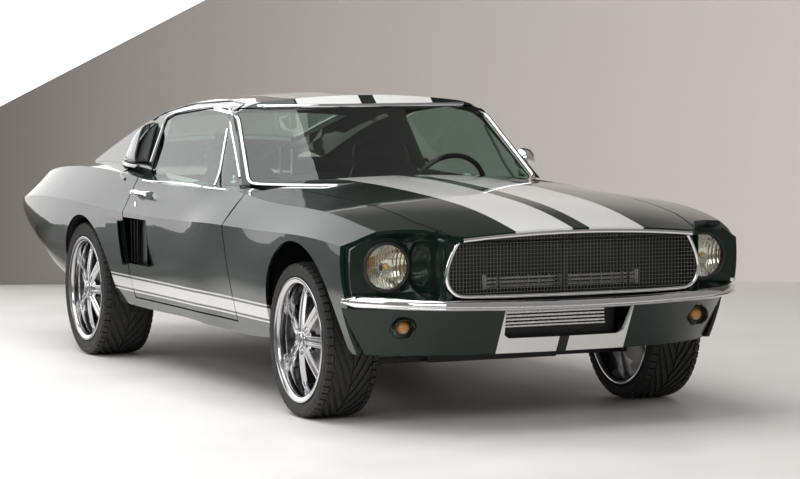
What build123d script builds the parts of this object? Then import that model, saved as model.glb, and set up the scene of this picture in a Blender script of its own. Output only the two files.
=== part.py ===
"""Fastback muscle coupe, built as separate panels, glass, running gear and wheels.

Millimetres. +X forward, +Y to the car's left, +Z up, ground at z = 0, origin under the middle of the car.
"""
from build123d import *
import math
import os

os.makedirs("parts", exist_ok=True)

# ---- driving dimensions -------------------------------------------------------------------------
LENGTH = 4710.0            # over both bumpers
WHEELBASE = 2743.0
FRONT_AXLE = 1500.0        # from the middle of the car
REAR_AXLE = FRONT_AXLE - WHEELBASE

SKIN = 12.0                # wall of the outer panels
ROOF_WALL = 28.0           # roof rails and pillars
LID_WALL = 22.0            # hood and trunk lid
SEAM = 0.3                 # between panels bolted or welded together
SHUT_GAP = 7.0             # around doors
LID_GAP = 7.0              # around hood and trunk lid
DOOR_ROOM = 8.0            # between the doors' tops and the pillars
RUN_FIT = 0.05             # radial clearance of pins and spindles

FRONT_TYRE = dict(radius=320.0, width=235.0, centre_y=748.0)
REAR_TYRE = dict(radius=330.0, width=260.0, centre_y=745.0)
RIM_RADIUS = 258.0         # over the rim's lip
TYRE_SHOULDER = 22.0

FRONT_ARCH = dict(x=1540.0, z=350.0, radius=380.0)
REAR_ARCH = dict(x=-1215.0, z=330.0, radius=368.0)

DOOR_FRONT = 757.0         # gap lines of the door
DOOR_REAR = -577.0
DOOR_BOTTOM = 338.0
HOOD_REAR = 945.0
TAIL_GAP = 10.0            # behind the trunk lid
HOOD_HALF = 600.0          # hood's half width at the cowl
HOOD_NOSE_HALF = 520.0     # and at its lip
LID_FRONT = -1742.0        # trunk lid
LID_REAR = -2262.0
LID_HALF = 540.0

STEER_Y = 655.0            # steering axis of each front wheel
STEER_ROOM = 380.0         # what the fender clears round that axis, past the turned tyre
HINGE_X = 850.0            # door hinge axis
HINGE_Y = 800.0
HINGE_PIN = 7.0
DOOR_HINGES = (430.0, 730.0)
FLOOR = 300.0              # underside of the floor
FLOOR_WALL = 30.0
SIDE_WALL = 720.0          # body side inside the doors, from the middle
FIREWALL = 830.0
PILLAR_FRONT = 880.0
HOOD_HINGE = dict(x=860.0, z=875.0, y=500.0)
LID_HINGE = dict(x=-1592.0, z=978.0, y=390.0)
LID_PIN = 5.0

# ---- lower body: sections across the car --------------------------------------------------------
# x, then (y, z) of: sill, widest lower side, crease, top edge; and z on the centre line
HULL = [
    (2400, (700, 330), (770, 450), (800, 660), (700, 735), 792),
    (2250, (760, 320), (830, 450), (862, 700), (745, 768), 824),
    (2080, (795, 310), (858, 460), (885, 728), (780, 800), 856),
    (1840, (812, 295), (866, 470), (897, 750), (798, 836), 887),
    (1500, (818, 290), (870, 480), (900, 757), (805, 858), 915),
    (950, (822, 285), (872, 480), (900, 752), (808, 873), 943),
    (300, (822, 285), (872, 480), (900, 745), (815, 892), 950),
    (-560, (822, 290), (872, 480), (899, 742), (818, 905), 960),
    (-1000, (822, 300), (875, 490), (900, 752), (812, 925), 985),
    (-1500, (815, 330), (872, 500), (900, 765), (800, 926), 990),
    (-1900, (800, 390), (860, 520), (888, 762), (785, 905), 955),
    (-2200, (770, 470), (840, 570), (868, 745), (760, 862), 895),
    (-2400, (740, 540), (810, 600), (840, 725), (735, 800), 840),
]

def box(x0, x1, y0, y1, z0, z1):
    return Pos((x0 + x1) / 2, (y0 + y1) / 2, (z0 + z1) / 2) * Box(abs(x1 - x0), abs(y1 - y0), abs(z1 - z0))


def plan(points, z0, z1):
    """A prism standing on an outline of (x, y) points."""
    return extrude(Pos(0, 0, z0) * make_face(Polyline(*points, close=True)), z1 - z0)


def profile(points, y0, y1):
    """A prism across the car on an outline of (x, z) points."""
    outline = Polyline(*[(x, y0, z) for x, z in points], close=True)
    return extrude(make_face(outline), y1 - y0, dir=(0, 1, 0))


def front(points, x0, x1):
    """A prism along the car on an outline of (y, z) points."""
    outline = Polyline(*[(x0, y, z) for y, z in points], close=True)
    return extrude(make_face(outline), x1 - x0, dir=(1, 0, 0))


def rod_y(x, z, radius, y0, y1):
    return Pos(x, (y0 + y1) / 2, z) * Rot(90, 0, 0) * Cylinder(radius, abs(y1 - y0))


def rod_z(x, y, radius, z0, z1):
    return Pos(x, y, (z0 + z1) / 2) * Cylinder(radius, z1 - z0)


def rod_x(y, z, radius, x0, x1):
    return Pos((x0 + x1) / 2, y, z) * Rot(0, 90, 0) * Cylinder(radius, x1 - x0)


def mirrored(shape):
    return mirror(shape, Plane.XZ)


def pair(shape):
    return Compound([*shape.solids(), *mirrored(shape).solids()])


def save(name, shape):
    solids = shape.solids()
    result = solids[0] if len(solids) == 1 else Compound(solids)
    result.label = name
    export_step(result, f"parts/{name}.step")


# ---- outer form ---------------------------------------------------------------------------------
def hull(inset=0.0):
    """The lower body, shrunk by inset on every side but its two ends."""
    sections = []
    for x, sill, low, crease, edge, middle in HULL:
        right = [(-sill[0] + inset, sill[1] + inset), (-low[0] + inset, low[1]),
                 (-crease[0] + inset, crease[1] - inset * 0.3), (-edge[0] + inset, edge[1] - inset)]
        left = [Vector(x, -y, z) for y, z in right]
        right = [Vector(x, y, z) for y, z in right]
        edges = [
            Line(left[0], right[0]),
            ThreePointArc(right[0], right[1], right[2]),
            Line(right[2], right[3]),
            ThreePointArc(right[3], Vector(x, 0, middle - inset), left[3]),
            Line(left[3], left[2]),
            ThreePointArc(left[2], left[1], left[0]),
        ]
        sections.append(Face(Wire(edges)))
    return loft(sections)


# plan of the cabin at its foot and its top: z, windshield's middle and corner x, half width, rear half width
CABIN = [
    (850, 807, 641, 760, 640),
    (1350, 176, 60, 578, 458),
]
CABIN_WAIST = -600.0       # behind this the cabin narrows
CABIN_END = -2300.0
CABIN_FOOT = 500.0
CABIN_SPREAD = 880.0       # half width of the roof's own section at its foot, outside the sides
# roof line: x, z on the centre line
ROOF = [(1000, 1200), (240, 1299), (-250, 1307), (-620, 1290), (-1050, 1218), (-1600, 1076),
        (-2000, 962), (-2400, 850)]
ROOF_CROWN = [(500, 30), (590, 58), (700, 140)]    # half width, and drop below the centre line


def cabin(inset=0.0):
    """Windshield, roof and side glass as one body, shrunk by inset."""
    rings = []
    for z, middle, corner, half, rear_half in CABIN:
        half = half - inset
        rear_half = rear_half - inset
        nose = inset * 1.6
        edges = [
            ThreePointArc(Vector(corner - nose, -half, z), Vector(middle - nose, 0, z),
                          Vector(corner - nose, half, z)),
            Line(Vector(corner - nose, half, z), Vector(CABIN_WAIST, half, z)),
            Line(Vector(CABIN_WAIST, half, z), Vector(CABIN_END, rear_half, z)),
            Line(Vector(CABIN_END, rear_half, z), Vector(CABIN_END, -rear_half, z)),
            Line(Vector(CABIN_END, -rear_half, z), Vector(CABIN_WAIST, -half, z)),
            Line(Vector(CABIN_WAIST, -half, z), Vector(corner - nose, -half, z)),
        ]
        rings.append(Face(Wire(edges)))
    sides = loft(rings, ruled=True)
    crowns = []
    for x, middle in ROOF:
        top = middle - inset
        (y1, d1), (y2, d2), (y3, d3) = ROOF_CROWN
        edges = [
            Line(Vector(x, CABIN_SPREAD, CABIN_FOOT), Vector(x, -CABIN_SPREAD, CABIN_FOOT)),
            Line(Vector(x, -CABIN_SPREAD, CABIN_FOOT), Vector(x, -y3, top - d3)),
            ThreePointArc(Vector(x, -y3, top - d3), Vector(x, -y2, top - d2), Vector(x, -y1, top - d1)),
            ThreePointArc(Vector(x, -y1, top - d1), Vector(x, 0, top), Vector(x, y1, top - d1)),
            ThreePointArc(Vector(x, y1, top - d1), Vector(x, y2, top - d2), Vector(x, y3, top - d3)),
            Line(Vector(x, y3, top - d3), Vector(x, CABIN_SPREAD, CABIN_FOOT)),
        ]
        crowns.append(Face(Wire(edges)))
    return sides & loft(crowns)


# side outline of the lower body, and plan outline of its nose
SIDE = [(-900, 290), (-1150, 330), (-1760, 372), (-2020, 430), (-2262, 590), (-2335, 690), (-2318, 770),
        (-2262, 850), (-2262, 1400), (2600, 1400), (2600, 300), (900, 282)]
NOSE_TIP = 2344.0
NOSE_SIDE = [(2330, 500), (2300, 545), (2176, 612), (2122, 700), (2100, 780), (2052, 850), (1985, 915)]


def nose_plan(shift=0.0):
    """Prism that trims the front of the body; shift moves it rearwards."""
    right = [(x - shift, -y) for x, y in NOSE_SIDE]
    left = [(x, -y) for x, y in reversed(right)]
    lip = ThreePointArc(left[-1], (NOSE_TIP - shift, 0), right[0])
    sides = Polyline(*right, (1800 - shift, -1000), (-2600, -1000), (-2600, 1000), (1800 - shift, 1000), *left)
    return extrude(Pos(0, 0, 100) * make_face([lip, sides]), 1400)


HULL_OUTER = hull() & profile(SIDE, -1000, 1000) & nose_plan()
HULL_SKIN = hull(SKIN)
HULL_LID = hull(LID_WALL)
HULL_CLEAR = hull(-SEAM)
CABIN_OUTER = cabin()
CABIN_ROOF = cabin(ROOF_WALL)
CABIN_LID = cabin(LID_WALL)

# ---- cut outlines -------------------------------------------------------------------------------
WINDOW = [(549, 905), (93, 1240), (-120, 1243), (-563, 1205), (-695, 1175), (-636, 874)]
WINDOW_FOOT = 860.0
REAR_WINDOW = dict(top_x=-985.0, top_half=455.0, foot_x=-1600.0, foot_half=420.0)
WINDSHIELD = [(-700, 905), (-606, 1246), (606, 1246), (700, 905)]


def side_opening(gap=0.0, rear_gap=0.0):
    """Side window outline, smaller by gap, rear edge by rear_gap, down past the belt."""
    (fx, fz), (tx, tz), (mx, mz), (rx, rz), (bx, bz), (ex, ez) = WINDOW
    points = [(fx - gap * 1.8 + 60, WINDOW_FOOT), (fx - gap * 1.8, fz), (tx - gap, tz - gap), (mx, mz - gap),
              (rx + gap, rz - gap), (bx + rear_gap, bz - gap), (ex + rear_gap, WINDOW_FOOT)]
    return profile(points, -1000, -400)


def hood_outline(gap=0.0):
    return plan([(HOOD_REAR + gap, -HOOD_HALF + gap), (2050, -HOOD_HALF + 6 + gap),
                 (2600, -HOOD_NOSE_HALF + 40 + gap), (2600, HOOD_NOSE_HALF - 40 - gap),
                 (2050, HOOD_HALF - 6 - gap), (HOOD_REAR + gap, HOOD_HALF - gap)], 700, 1300)


def lid_outline(gap=0.0):
    return plan([(LID_FRONT - gap, -LID_HALF + gap), (LID_REAR + gap, -LID_HALF + 40 + gap),
                 (LID_REAR + gap, LID_HALF - 40 - gap), (LID_FRONT - gap, LID_HALF - gap)], 700, 1300)


def rear_glass_outline(gap=0.0):
    w = REAR_WINDOW
    return plan([(w["top_x"] - gap, -w["top_half"] + gap), (w["foot_x"] + gap, -w["foot_half"] + gap),
                 (w["foot_x"] + gap, w["foot_half"] - gap), (w["top_x"] - gap, w["top_half"] - gap)], 900, 1400)


def windshield_outline(gap=0.0):
    (y0, z0), (y1, z1), _, _ = WINDSHIELD
    return front([(y0 + gap, z0 + gap), (y1 + gap, z1 - gap), (-y1 - gap, z1 - gap), (-y0 - gap, z0 + gap)],
                 130, 900)


def arch_cut(arch, y0=-1000.0, y1=-600.0, grow=0.0):
    return rod_y(arch["x"], arch["z"], arch["radius"] + grow, y0, y1)


# ---- doors --------------------------------------------------------------------------------------
DOOR_RAIL = 668.0          # inner side of the rail that holds the glass
TAIL_FRONT = LID_REAR - TAIL_GAP
# z, y of the side at the door's front gap
SIDE_LINE = [(285, 823), (350, 840), (480, 869), (600, 890), (700, 903), (752, 909), (765, 900),
             (873, 812), (960, 812)]


def side_at(height):
    """Half width of the body side at a height, next to the door's front gap."""
    for (z0, y0), (z1, y1) in zip(SIDE_LINE, SIDE_LINE[1:]):
        if z0 <= height <= z1:
            return y0 + (y1 - y0) * (height - z0) / (z1 - z0)
    raise ValueError(height)


def door_prism(gap=0.0, depth=SIDE_WALL + 2):
    """Plan outline of the door, grown by gap."""
    return plan([(DOOR_FRONT + gap, -960), (DOOR_FRONT + gap, -depth), (DOOR_REAR + 8 - gap, -depth),
                 (DOOR_REAR - gap, -960)], DOOR_BOTTOM - gap, 1000)


def door_hinge_sweep():
    """What the door gives up in front so that it swings past the fender."""
    levels = [290, *(z for z, _ in SIDE_LINE[1:-1]), 955]
    reach = [(HINGE_X + math.hypot(HINGE_X - DOOR_FRONT, side_at(z) - HINGE_Y), z) for z in levels]
    outline = [(HINGE_X, levels[0]), *reach, (HINGE_X, levels[-1])]
    face = make_face(Polyline(*[(x, -HINGE_Y, z) for x, z in outline], close=True))
    return revolve(face, Axis((HINGE_X, -HINGE_Y, 0), (0, 0, 1)))


def door_arm(height):
    """Gooseneck arm from the hinge pin, round the fender's edge, to the door's front face."""
    boss = rod_z(HINGE_X, -HINGE_Y, 15, height - 11, height + 11)
    inner = -SIDE_WALL - 2
    inward = box(HINGE_X - 12, HINGE_X + 12, -HINGE_Y, inner, height - 11, height + 11)
    back = box(DOOR_FRONT - 60, HINGE_X + 12, inner - 10, inner, height - 11, height + 11)
    return boss + inward + back - rod_z(HINGE_X, -HINGE_Y, HINGE_PIN + RUN_FIT, height - 40, height + 40)


def door_bracket(height):
    """Plate and pin on the door pillar."""
    plate = box(HINGE_X - 14, HINGE_X + 14, -HINGE_Y - 14, -SIDE_WALL + 2, height - 24, height - 11 - SEAM)
    return plate + rod_z(HINGE_X, -HINGE_Y, HINGE_PIN, height - 20, height + 11)


door = (HULL_OUTER & door_prism()) - door_hinge_sweep()
door = max(door.solids(), key=lambda s: s.volume)
door += HULL_OUTER & door_prism(depth=DOOR_RAIL) & box(DOOR_REAR, 560, -960, -DOOR_RAIL, 835, 1000)
for level in DOOR_HINGES:
    door = door + door_arm(level)
# recess that leads into the side scoop, deepest at the door's rear edge
DOOR_RECESS = [(-600, -960), (-600, -842), (-310, -858), (-262, -884), (-244, -960)]
door -= plan(DOOR_RECESS, 500, 720)
save("door_right", door)
save("door_left", mirrored(door))

glass_shell = cabin(4) - cabin(10)
door_glass = (glass_shell & side_opening(SHUT_GAP, 14)) - HULL_CLEAR
save("door_glass_right", door_glass)
save("door_glass_left", mirrored(door_glass))

# ---- fenders, quarter panels, rockers -----------------------------------------------------------
UNDER_SKIN = 790.0         # panels keep no floor inside this half width


def fender_zone(gap=0.0):
    return plan([(DOOR_FRONT + SHUT_GAP - gap, -960), (DOOR_FRONT + SHUT_GAP - gap, -HOOD_HALF - 60 + gap),
                 (HOOD_REAR - gap, -HOOD_HALF + gap), (HOOD_REAR - gap, -400), (2500, -400),
                 (2500, -960)], 200, 1000)


fender = (HULL_OUTER & fender_zone()) - HULL_SKIN - arch_cut(FRONT_ARCH) - hood_outline(-LID_GAP)
fender -= box(700, 2500, -UNDER_SKIN, 0, 200, 700)
fender -= box(1975, 2500, -1000, 0, 200, 492)
fender -= rod_z(FRONT_AXLE, -STEER_Y, STEER_ROOM, 200, FRONT_ARCH["z"])
fender = max(fender.solids(), key=lambda s: s.volume)
save("fender_right", fender)
save("fender_left", mirrored(fender))

quarter = (HULL_OUTER & box(TAIL_FRONT + SEAM, DOOR_REAR - SHUT_GAP, -960, -400, 200, 1200)) - HULL_SKIN
quarter = quarter - arch_cut(REAR_ARCH) - lid_outline(-LID_GAP) - cabin(ROOF_WALL)
quarter -= box(TAIL_FRONT - 10, 0, -UNDER_SKIN + 40, 0, 200, 800)
quarter -= box(-1300, 0, -UNDER_SKIN, 0, 200, 600)
quarter = max(quarter.solids(), key=lambda s: s.volume)
save("quarter_right", quarter)
save("quarter_left", mirrored(quarter))

rocker = HULL_OUTER & box(DOOR_REAR - SHUT_GAP, DOOR_FRONT + SHUT_GAP, -960, -SIDE_WALL, 200,
                          DOOR_BOTTOM - SHUT_GAP)
save("rockers", pair(rocker))

# ---- roof and fixed glass -----------------------------------------------------------------------
roof = CABIN_OUTER - CABIN_ROOF - HULL_CLEAR - side_opening() - mirrored(side_opening())
roof = roof - windshield_outline() - rear_glass_outline() - lid_outline(-LID_GAP)
roof -= box(-2500, LID_FRONT + LID_GAP, -1000, 1000, 0, 1400)
# the foot of the front pillars stays off the doors, which swing past under it
pillar_room = hull(-DOOR_ROOM) & box(450, DOOR_FRONT + SHUT_GAP, -960, -690, 700, 1000)
roof -= pillar_room + mirrored(pillar_room)
roof = max(roof.solids(), key=lambda s: s.volume)
save("roof_shell", roof)
windshield = (glass_shell & windshield_outline(SEAM)) - HULL_CLEAR
save("windshield", windshield)
save("rear_window", glass_shell & rear_glass_outline(SEAM))

# ---- hood, cowl, trunk lid, tail ----------------------------------------------------------------
def cross_sweep(hinge, edge_x, heights):
    """Barrel round a hinge line across the car, following a panel's top edge: heights are (y, z)."""
    reach = [(y, hinge["z"] + math.hypot(edge_x - hinge["x"], z - hinge["z"])) for y, z in heights]
    right = [(y, z) for y, z in reach]
    left = [(-y, z) for y, z in reversed(reach)]
    outline = [(right[0][0], hinge["z"]), *right, *left[1:], (left[-1][0], hinge["z"])]
    face = make_face(Polyline(*[(hinge["x"], y, z) for y, z in outline], close=True))
    return revolve(face, Axis((hinge["x"], 0, hinge["z"]), (0, 1, 0)))


HOOD_EDGE = [(-620, 903.5), (-400, 928.5), (-200, 941.5), (0, 945.5)]
LID_EDGE = [(-560, 1018), (-500, 1024), (-250, 1047), (0, 1054)]


def hood_arm():
    h = HOOD_HINGE
    x, y, z = h["x"], -h["y"], h["z"]
    boss = rod_y(x, z, 12, y - 8, y + 8)
    down = box(x - 8, x + 8, y - 8, y + 8, z - 70, z)
    along = box(x - 8, x + 124, y - 8, y + 8, z - 70, z - 56)
    up = box(x + 108, x + 124, y - 8, y + 8, z - 70, z + 30)
    return boss + down + along + up - rod_y(x, z, LID_PIN + RUN_FIT, y - 20, y + 20)


hood = (HULL_OUTER & hood_outline()) - HULL_LID - cross_sweep(HOOD_HINGE, HOOD_REAR, HOOD_EDGE)
hood &= box(HOOD_REAR, 2400, -700, 700, 745, 1000)
hood = max(hood.solids(), key=lambda s: s.volume)
hood = hood + hood_arm() + mirrored(hood_arm())
save("hood", hood)

cowl = (HULL_OUTER & box(560, HOOD_REAR - LID_GAP, -HOOD_HALF - 60, HOOD_HALF + 60, 800, 1000)) - hull(20)
cowl = cowl - cabin(-SEAM) - door_prism(SHUT_GAP, 560) - mirrored(door_prism(SHUT_GAP, 560))
cowl = cowl - fender_zone(SEAM) - mirrored(fender_zone(SEAM))
save("cowl", cowl)

CABIN_LID_FIT = cabin(LID_WALL - 2)


def lid_arm():
    h = LID_HINGE
    x, y, z = h["x"], -h["y"], h["z"]
    boss = rod_y(x, z, 12, y - 8, y + 8)
    down = box(x - 8, x + 8, y - 8, y + 8, z - 140, z)
    along = box(x - 176, x + 8, y - 8, y + 8, z - 140, z - 124)
    up = box(x - 176, x - 160, y - 8, y + 8, z - 140, z + 60) & CABIN_LID_FIT
    return boss + down + along + up - rod_y(x, z, LID_PIN + RUN_FIT, y - 20, y + 20)


lid = (HULL_OUTER & lid_outline()) - HULL_LID - CABIN_LID
lid += (CABIN_OUTER & lid_outline()) - CABIN_LID - HULL_LID
lid -= cross_sweep(LID_HINGE, LID_FRONT, LID_EDGE)
lid &= box(-2400, -1600, -700, 700, 780, 1200)
lid = max(lid.solids(), key=lambda s: s.volume)
lid = lid + lid_arm() + mirrored(lid_arm())
save("trunk_lid", lid)

tail = HULL_OUTER & box(-2400, TAIL_FRONT, -1000, 1000, 560, 1000)
lamp_pockets = []
LAMPS_Y = (560.0, 650.0, 740.0)
for y in LAMPS_Y:
    for side in (-1, 1):
        tail -= box(-2400, -2300, side * y - 32, side * y + 32, 645, 765)
        lamp_pockets.append(box(-2338, -2300 - SEAM, side * y - 32 + SEAM, side * y + 32 - SEAM,
                                645 + SEAM, 765 - SEAM))
save("tail_panel", tail)
save("tail_lamps", Compound(lamp_pockets))

PLATE_HOLES = (177.8, 120.6)
rear_valance = box(-2266, -2252, -690, 690, 440, 589)
for dy in (-1, 1):
    for dz in (-1, 1):
        rear_valance -= rod_x(dy * PLATE_HOLES[0] / 2, 515 + dz * PLATE_HOLES[1] / 2, 3.5, -2300, -2200)
save("rear_valance", rear_valance)

# ---- floor and inner structure ------------------------------------------------------------------
FLOOR_TOP = FLOOR + FLOOR_WALL
TRUNK_FLOOR = 560.0
TRUNK_WALL = 20.0
SEAT_RISER = -880.0
REAR_END = -2252.0
TUNNEL = 140.0
TUNNEL_TOP = 480.0
TUNNEL_WALL = 12.0
WHEELHOUSE_Y = 590.0
RAIL_Y = 500.0
JACK_PADS = ((-600, 620), (600, 620))
JACK_DROP = 15.0

floor = box(SEAT_RISER, FIREWALL - SEAM, -SIDE_WALL, SIDE_WALL, FLOOR, FLOOR_TOP)
floor += box(SEAT_RISER, FIREWALL - SEAM, -TUNNEL, TUNNEL, FLOOR, TUNNEL_TOP)
floor += box(SEAT_RISER - TRUNK_WALL, SEAT_RISER, -WHEELHOUSE_Y, WHEELHOUSE_Y, FLOOR, TRUNK_FLOOR + TRUNK_WALL)
floor -= box(SEAT_RISER - 50, FIREWALL + 10, -TUNNEL + TUNNEL_WALL, TUNNEL - TUNNEL_WALL, FLOOR - 10,
             TUNNEL_TOP - TUNNEL_WALL)
floor += box(REAR_END + SEAM, SEAT_RISER, -WHEELHOUSE_Y, WHEELHOUSE_Y, TRUNK_FLOOR, TRUNK_FLOOR + TRUNK_WALL)
for side in (-1, 1):
    floor += box(REAR_END + SEAM, SEAT_RISER, side * (RAIL_Y - 30), side * (RAIL_Y + 30), 450, TRUNK_FLOOR)
    for x, y in JACK_PADS:
        floor += box(x - 40, x + 40, side * y - 40, side * y + 40, FLOOR - JACK_DROP, FLOOR)
save("floor_pan", floor)

wall_fit = hull(SKIN + SEAM)
house = rod_y(REAR_ARCH["x"], REAR_ARCH["z"], REAR_ARCH["radius"] + 10, -900, -WHEELHOUSE_Y - SEAM)
house -= rod_y(REAR_ARCH["x"], REAR_ARCH["z"], REAR_ARCH["radius"], -950, -WHEELHOUSE_Y + 50)
house &= box(-2000, 0, -1000, 0, 420, 1000)
house += box(-1840, SEAT_RISER - TRUNK_WALL, -WHEELHOUSE_Y - 10, -WHEELHOUSE_Y - SEAM, 420, 862)
save("rear_wheelhouses", pair(house & wall_fit))

SHELF_TOP = 855.0
SHELF_WALL = 15.0
shelf = box(-1620, -1085, -WHEELHOUSE_Y, WHEELHOUSE_Y, SHELF_TOP - SHELF_WALL, SHELF_TOP)
for side in (-1, 1):
    x, y, z = LID_HINGE["x"], side * LID_HINGE["y"], LID_HINGE["z"]
    shelf -= box(x - 40, x + 40, y - side * 20, y + side * 14, SHELF_TOP - 50, SHELF_TOP + 10)
    shelf += box(x - 12, x + 12, y + side * 9, y + side * 25, SHELF_TOP - SHELF_WALL, z + 12)
    shelf += rod_y(x, z, LID_PIN, *sorted((y - side * 8, y + side * 12)))
save("package_shelf", shelf)

pillar_fit = hull(20 + SEAM)
firewall = box(FIREWALL - 10, FIREWALL, -SIDE_WALL + 1, SIDE_WALL - 1, FLOOR_TOP + SEAM, 1000) & pillar_fit
firewall -= box(800, 1000, -TUNNEL - SEAM, TUNNEL + SEAM, 200, TUNNEL_TOP + SEAM)
pillar = box(DOOR_FRONT + SHUT_GAP + 4, PILLAR_FRONT, -SIDE_WALL, -SIDE_WALL + 40, FLOOR_TOP + SEAM, 1000) & pillar_fit
for level in DOOR_HINGES:
    pillar += door_bracket(level)
firewall = firewall + pillar + mirrored(pillar)
for side in (-1, 1):
    x, y, z = HOOD_HINGE["x"], side * HOOD_HINGE["y"], HOOD_HINGE["z"]
    firewall += box(FIREWALL - 6, x + 8, y + side * 9, y + side * 19, z - 30, z + 8)
    firewall += rod_y(x, z, LID_PIN, *sorted((y - side * 8, y + side * 12)))
save("firewall", firewall)

APRON_Y = 434.0
RADIATOR_X = 2060.0
rails = []
for side in (-1, 1):
    rail = box(FIREWALL + SEAM, RADIATOR_X + 50, side * 380, side * 440, FLOOR, 380)
    wall = box(FIREWALL + SEAM, RADIATOR_X, side * APRON_Y, side * (APRON_Y + 10), 370, 812)
    flange = box(1012, 1960, side * APRON_Y, side * 815, 800, 812) & wall_fit
    rails.append(rail + wall + flange)
bay = rails[0] + rails[1]
bay += box(RADIATOR_X - 50, RADIATOR_X + 50, -440, 440, FLOOR, 340)
bay += box(RADIATOR_X - 20, RADIATOR_X, -440, 440, 762, 782)

# ---- nose, grille, valance, bumpers -------------------------------------------------------------
NOSE_TOP = 752.0
NOSE_FOOT = 500.0
HEADLAMP = dict(x=2075.0, y=717.0, z=653.0, radius=95.0)
LAMP_PLATE = 2062.0
# half outline of the grille opening: y, z
GRILLE = [(499, 742), (545, 690), (560, 640), (548, 575), (505, 545)]
GRILLE_FRONT = 2285.0


def grille_prism(grow, x0, x1):
    points = [(y + grow, z + (grow if z > 640 else -grow)) for y, z in GRILLE]
    return front(points + [(-y, z) for y, z in reversed(points)], x0, x1)


nose = grille_prism(9, 2175, GRILLE_FRONT) - grille_prism(0, 2100, 2400)
bucket = plan([(GRILLE_FRONT, -561), (GRILLE_FRONT - 40, -557), (LAMP_PLATE, -600), (LAMP_PLATE, -622),
               (LAMP_PLATE + 12, -622), (GRILLE_FRONT - 60, -577), (GRILLE_FRONT, -569)], NOSE_FOOT, NOSE_TOP)
lamp_plate = box(LAMP_PLATE, LAMP_PLATE + 12, -900, -600, NOSE_FOOT, 790) & wall_fit
lamp_plate -= rod_x(-HEADLAMP["y"], HEADLAMP["z"], HEADLAMP["radius"], 2000, 2200)
cheek = (bucket + lamp_plate) - hood_outline(-LID_GAP)
nose_foot = plan([(LAMP_PLATE, -600), (2275, -565), (2275, 565), (LAMP_PLATE, 600)], NOSE_FOOT, NOSE_FOOT + 12)
nose = nose + cheek + mirrored(cheek) + nose_foot
nose += box(2175, 2187, -560, 560, NOSE_FOOT, 552)

lamp = rod_x(-HEADLAMP["y"], HEADLAMP["z"], HEADLAMP["radius"] - SEAM, LAMP_PLATE - 40, LAMP_PLATE + 26)
save("headlamps", pair(lamp))

GRILLE_PITCH = 22.0
grille = grille_prism(-SEAM, 2196, 2204) - grille_prism(-9, 2000, 2400)
bars = []
for i in range(-24, 25):
    bars.append(box(2197, 2200, i * GRILLE_PITCH - 1.5, i * GRILLE_PITCH + 1.5, 540, 750))
for i in range(10):
    z = 556 + i * GRILLE_PITCH
    bars.append(box(2199, 2203, -570, 570, z - 1.5, z + 1.5))
mesh = bars[0].fuse(*bars[1:])
grille = grille + (mesh & grille_prism(-5, 2100, 2300))
save("grille", grille)

# plan curve of the valance along its top edge: middle, middle's edge, lamp, end
VALANCE = [(2272, 0), (2262, 300), (2145, 664), (1978, 868)]
VALANCE_TOP = 488.0
VALANCE_FOOT = 300.0
VALANCE_LEAN = -0.52


def valance_body(shift):
    (mx, _), (ex, ey), (lx, ly), (tx, ty) = VALANCE
    z = VALANCE_TOP
    edges = [
        ThreePointArc((ex - shift, -ey, z), (mx - shift, 0, z), (ex - shift, ey, z)),
        ThreePointArc((ex - shift, ey, z), (lx - shift, ly, z), (tx - shift, ty, z)),
        Line((tx - shift, ty, z), (tx - shift - 60, ty, z)),
        Line((tx - shift - 60, ty, z), (tx - shift - 60, -ty, z)),
        Line((tx - shift - 60, -ty, z), (tx - shift, -ty, z)),
        ThreePointArc((tx - shift, -ty, z), (lx - shift, -ly, z), (ex - shift, -ey, z)),
    ]
    drop = VALANCE_TOP - VALANCE_FOOT
    return extrude(make_face(edges), drop * math.hypot(1, VALANCE_LEAN), dir=(VALANCE_LEAN, 0, -1))


OPENING = [(285, 476), (268, 376), (245, 362)]     # half outline of the lower opening: y, z
TURN_LAMP = dict(y=664.0, z=413.0, radius=46.0)
valance = valance_body(0) - valance_body(18) - box(1000, 1975 + SEAM, -1000, 1000, 200, 600)
valance = valance - front(OPENING + [(-y, z) for y, z in reversed(OPENING)], 2000, 2400)
lamp_holes = rod_x(-TURN_LAMP["y"], TURN_LAMP["z"], TURN_LAMP["radius"], 2000, 2200)
valance = valance - lamp_holes - mirrored(lamp_holes)
valance = max(valance.solids(), key=lambda s: s.volume)
save("front_valance", valance)
turn = rod_x(-TURN_LAMP["y"], TURN_LAMP["z"], TURN_LAMP["radius"] - SEAM, 2070, 2135)
save("turn_lamps", pair(turn))

BUMPER_Z = 522.0
BUMPER_HEIGHT = 62.0
BUMPER_DEPTH = 26.0
FRONT_BUMPER = [(LENGTH / 2, 0), (2328, 500), (2238, 745), (2004, 886)]
REAR_BUMPER = [(-LENGTH / 2, 0), (-2340, 560), (-2320, 720), (-2288, 800)]
REAR_BUMPER_Z = 600.0


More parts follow.
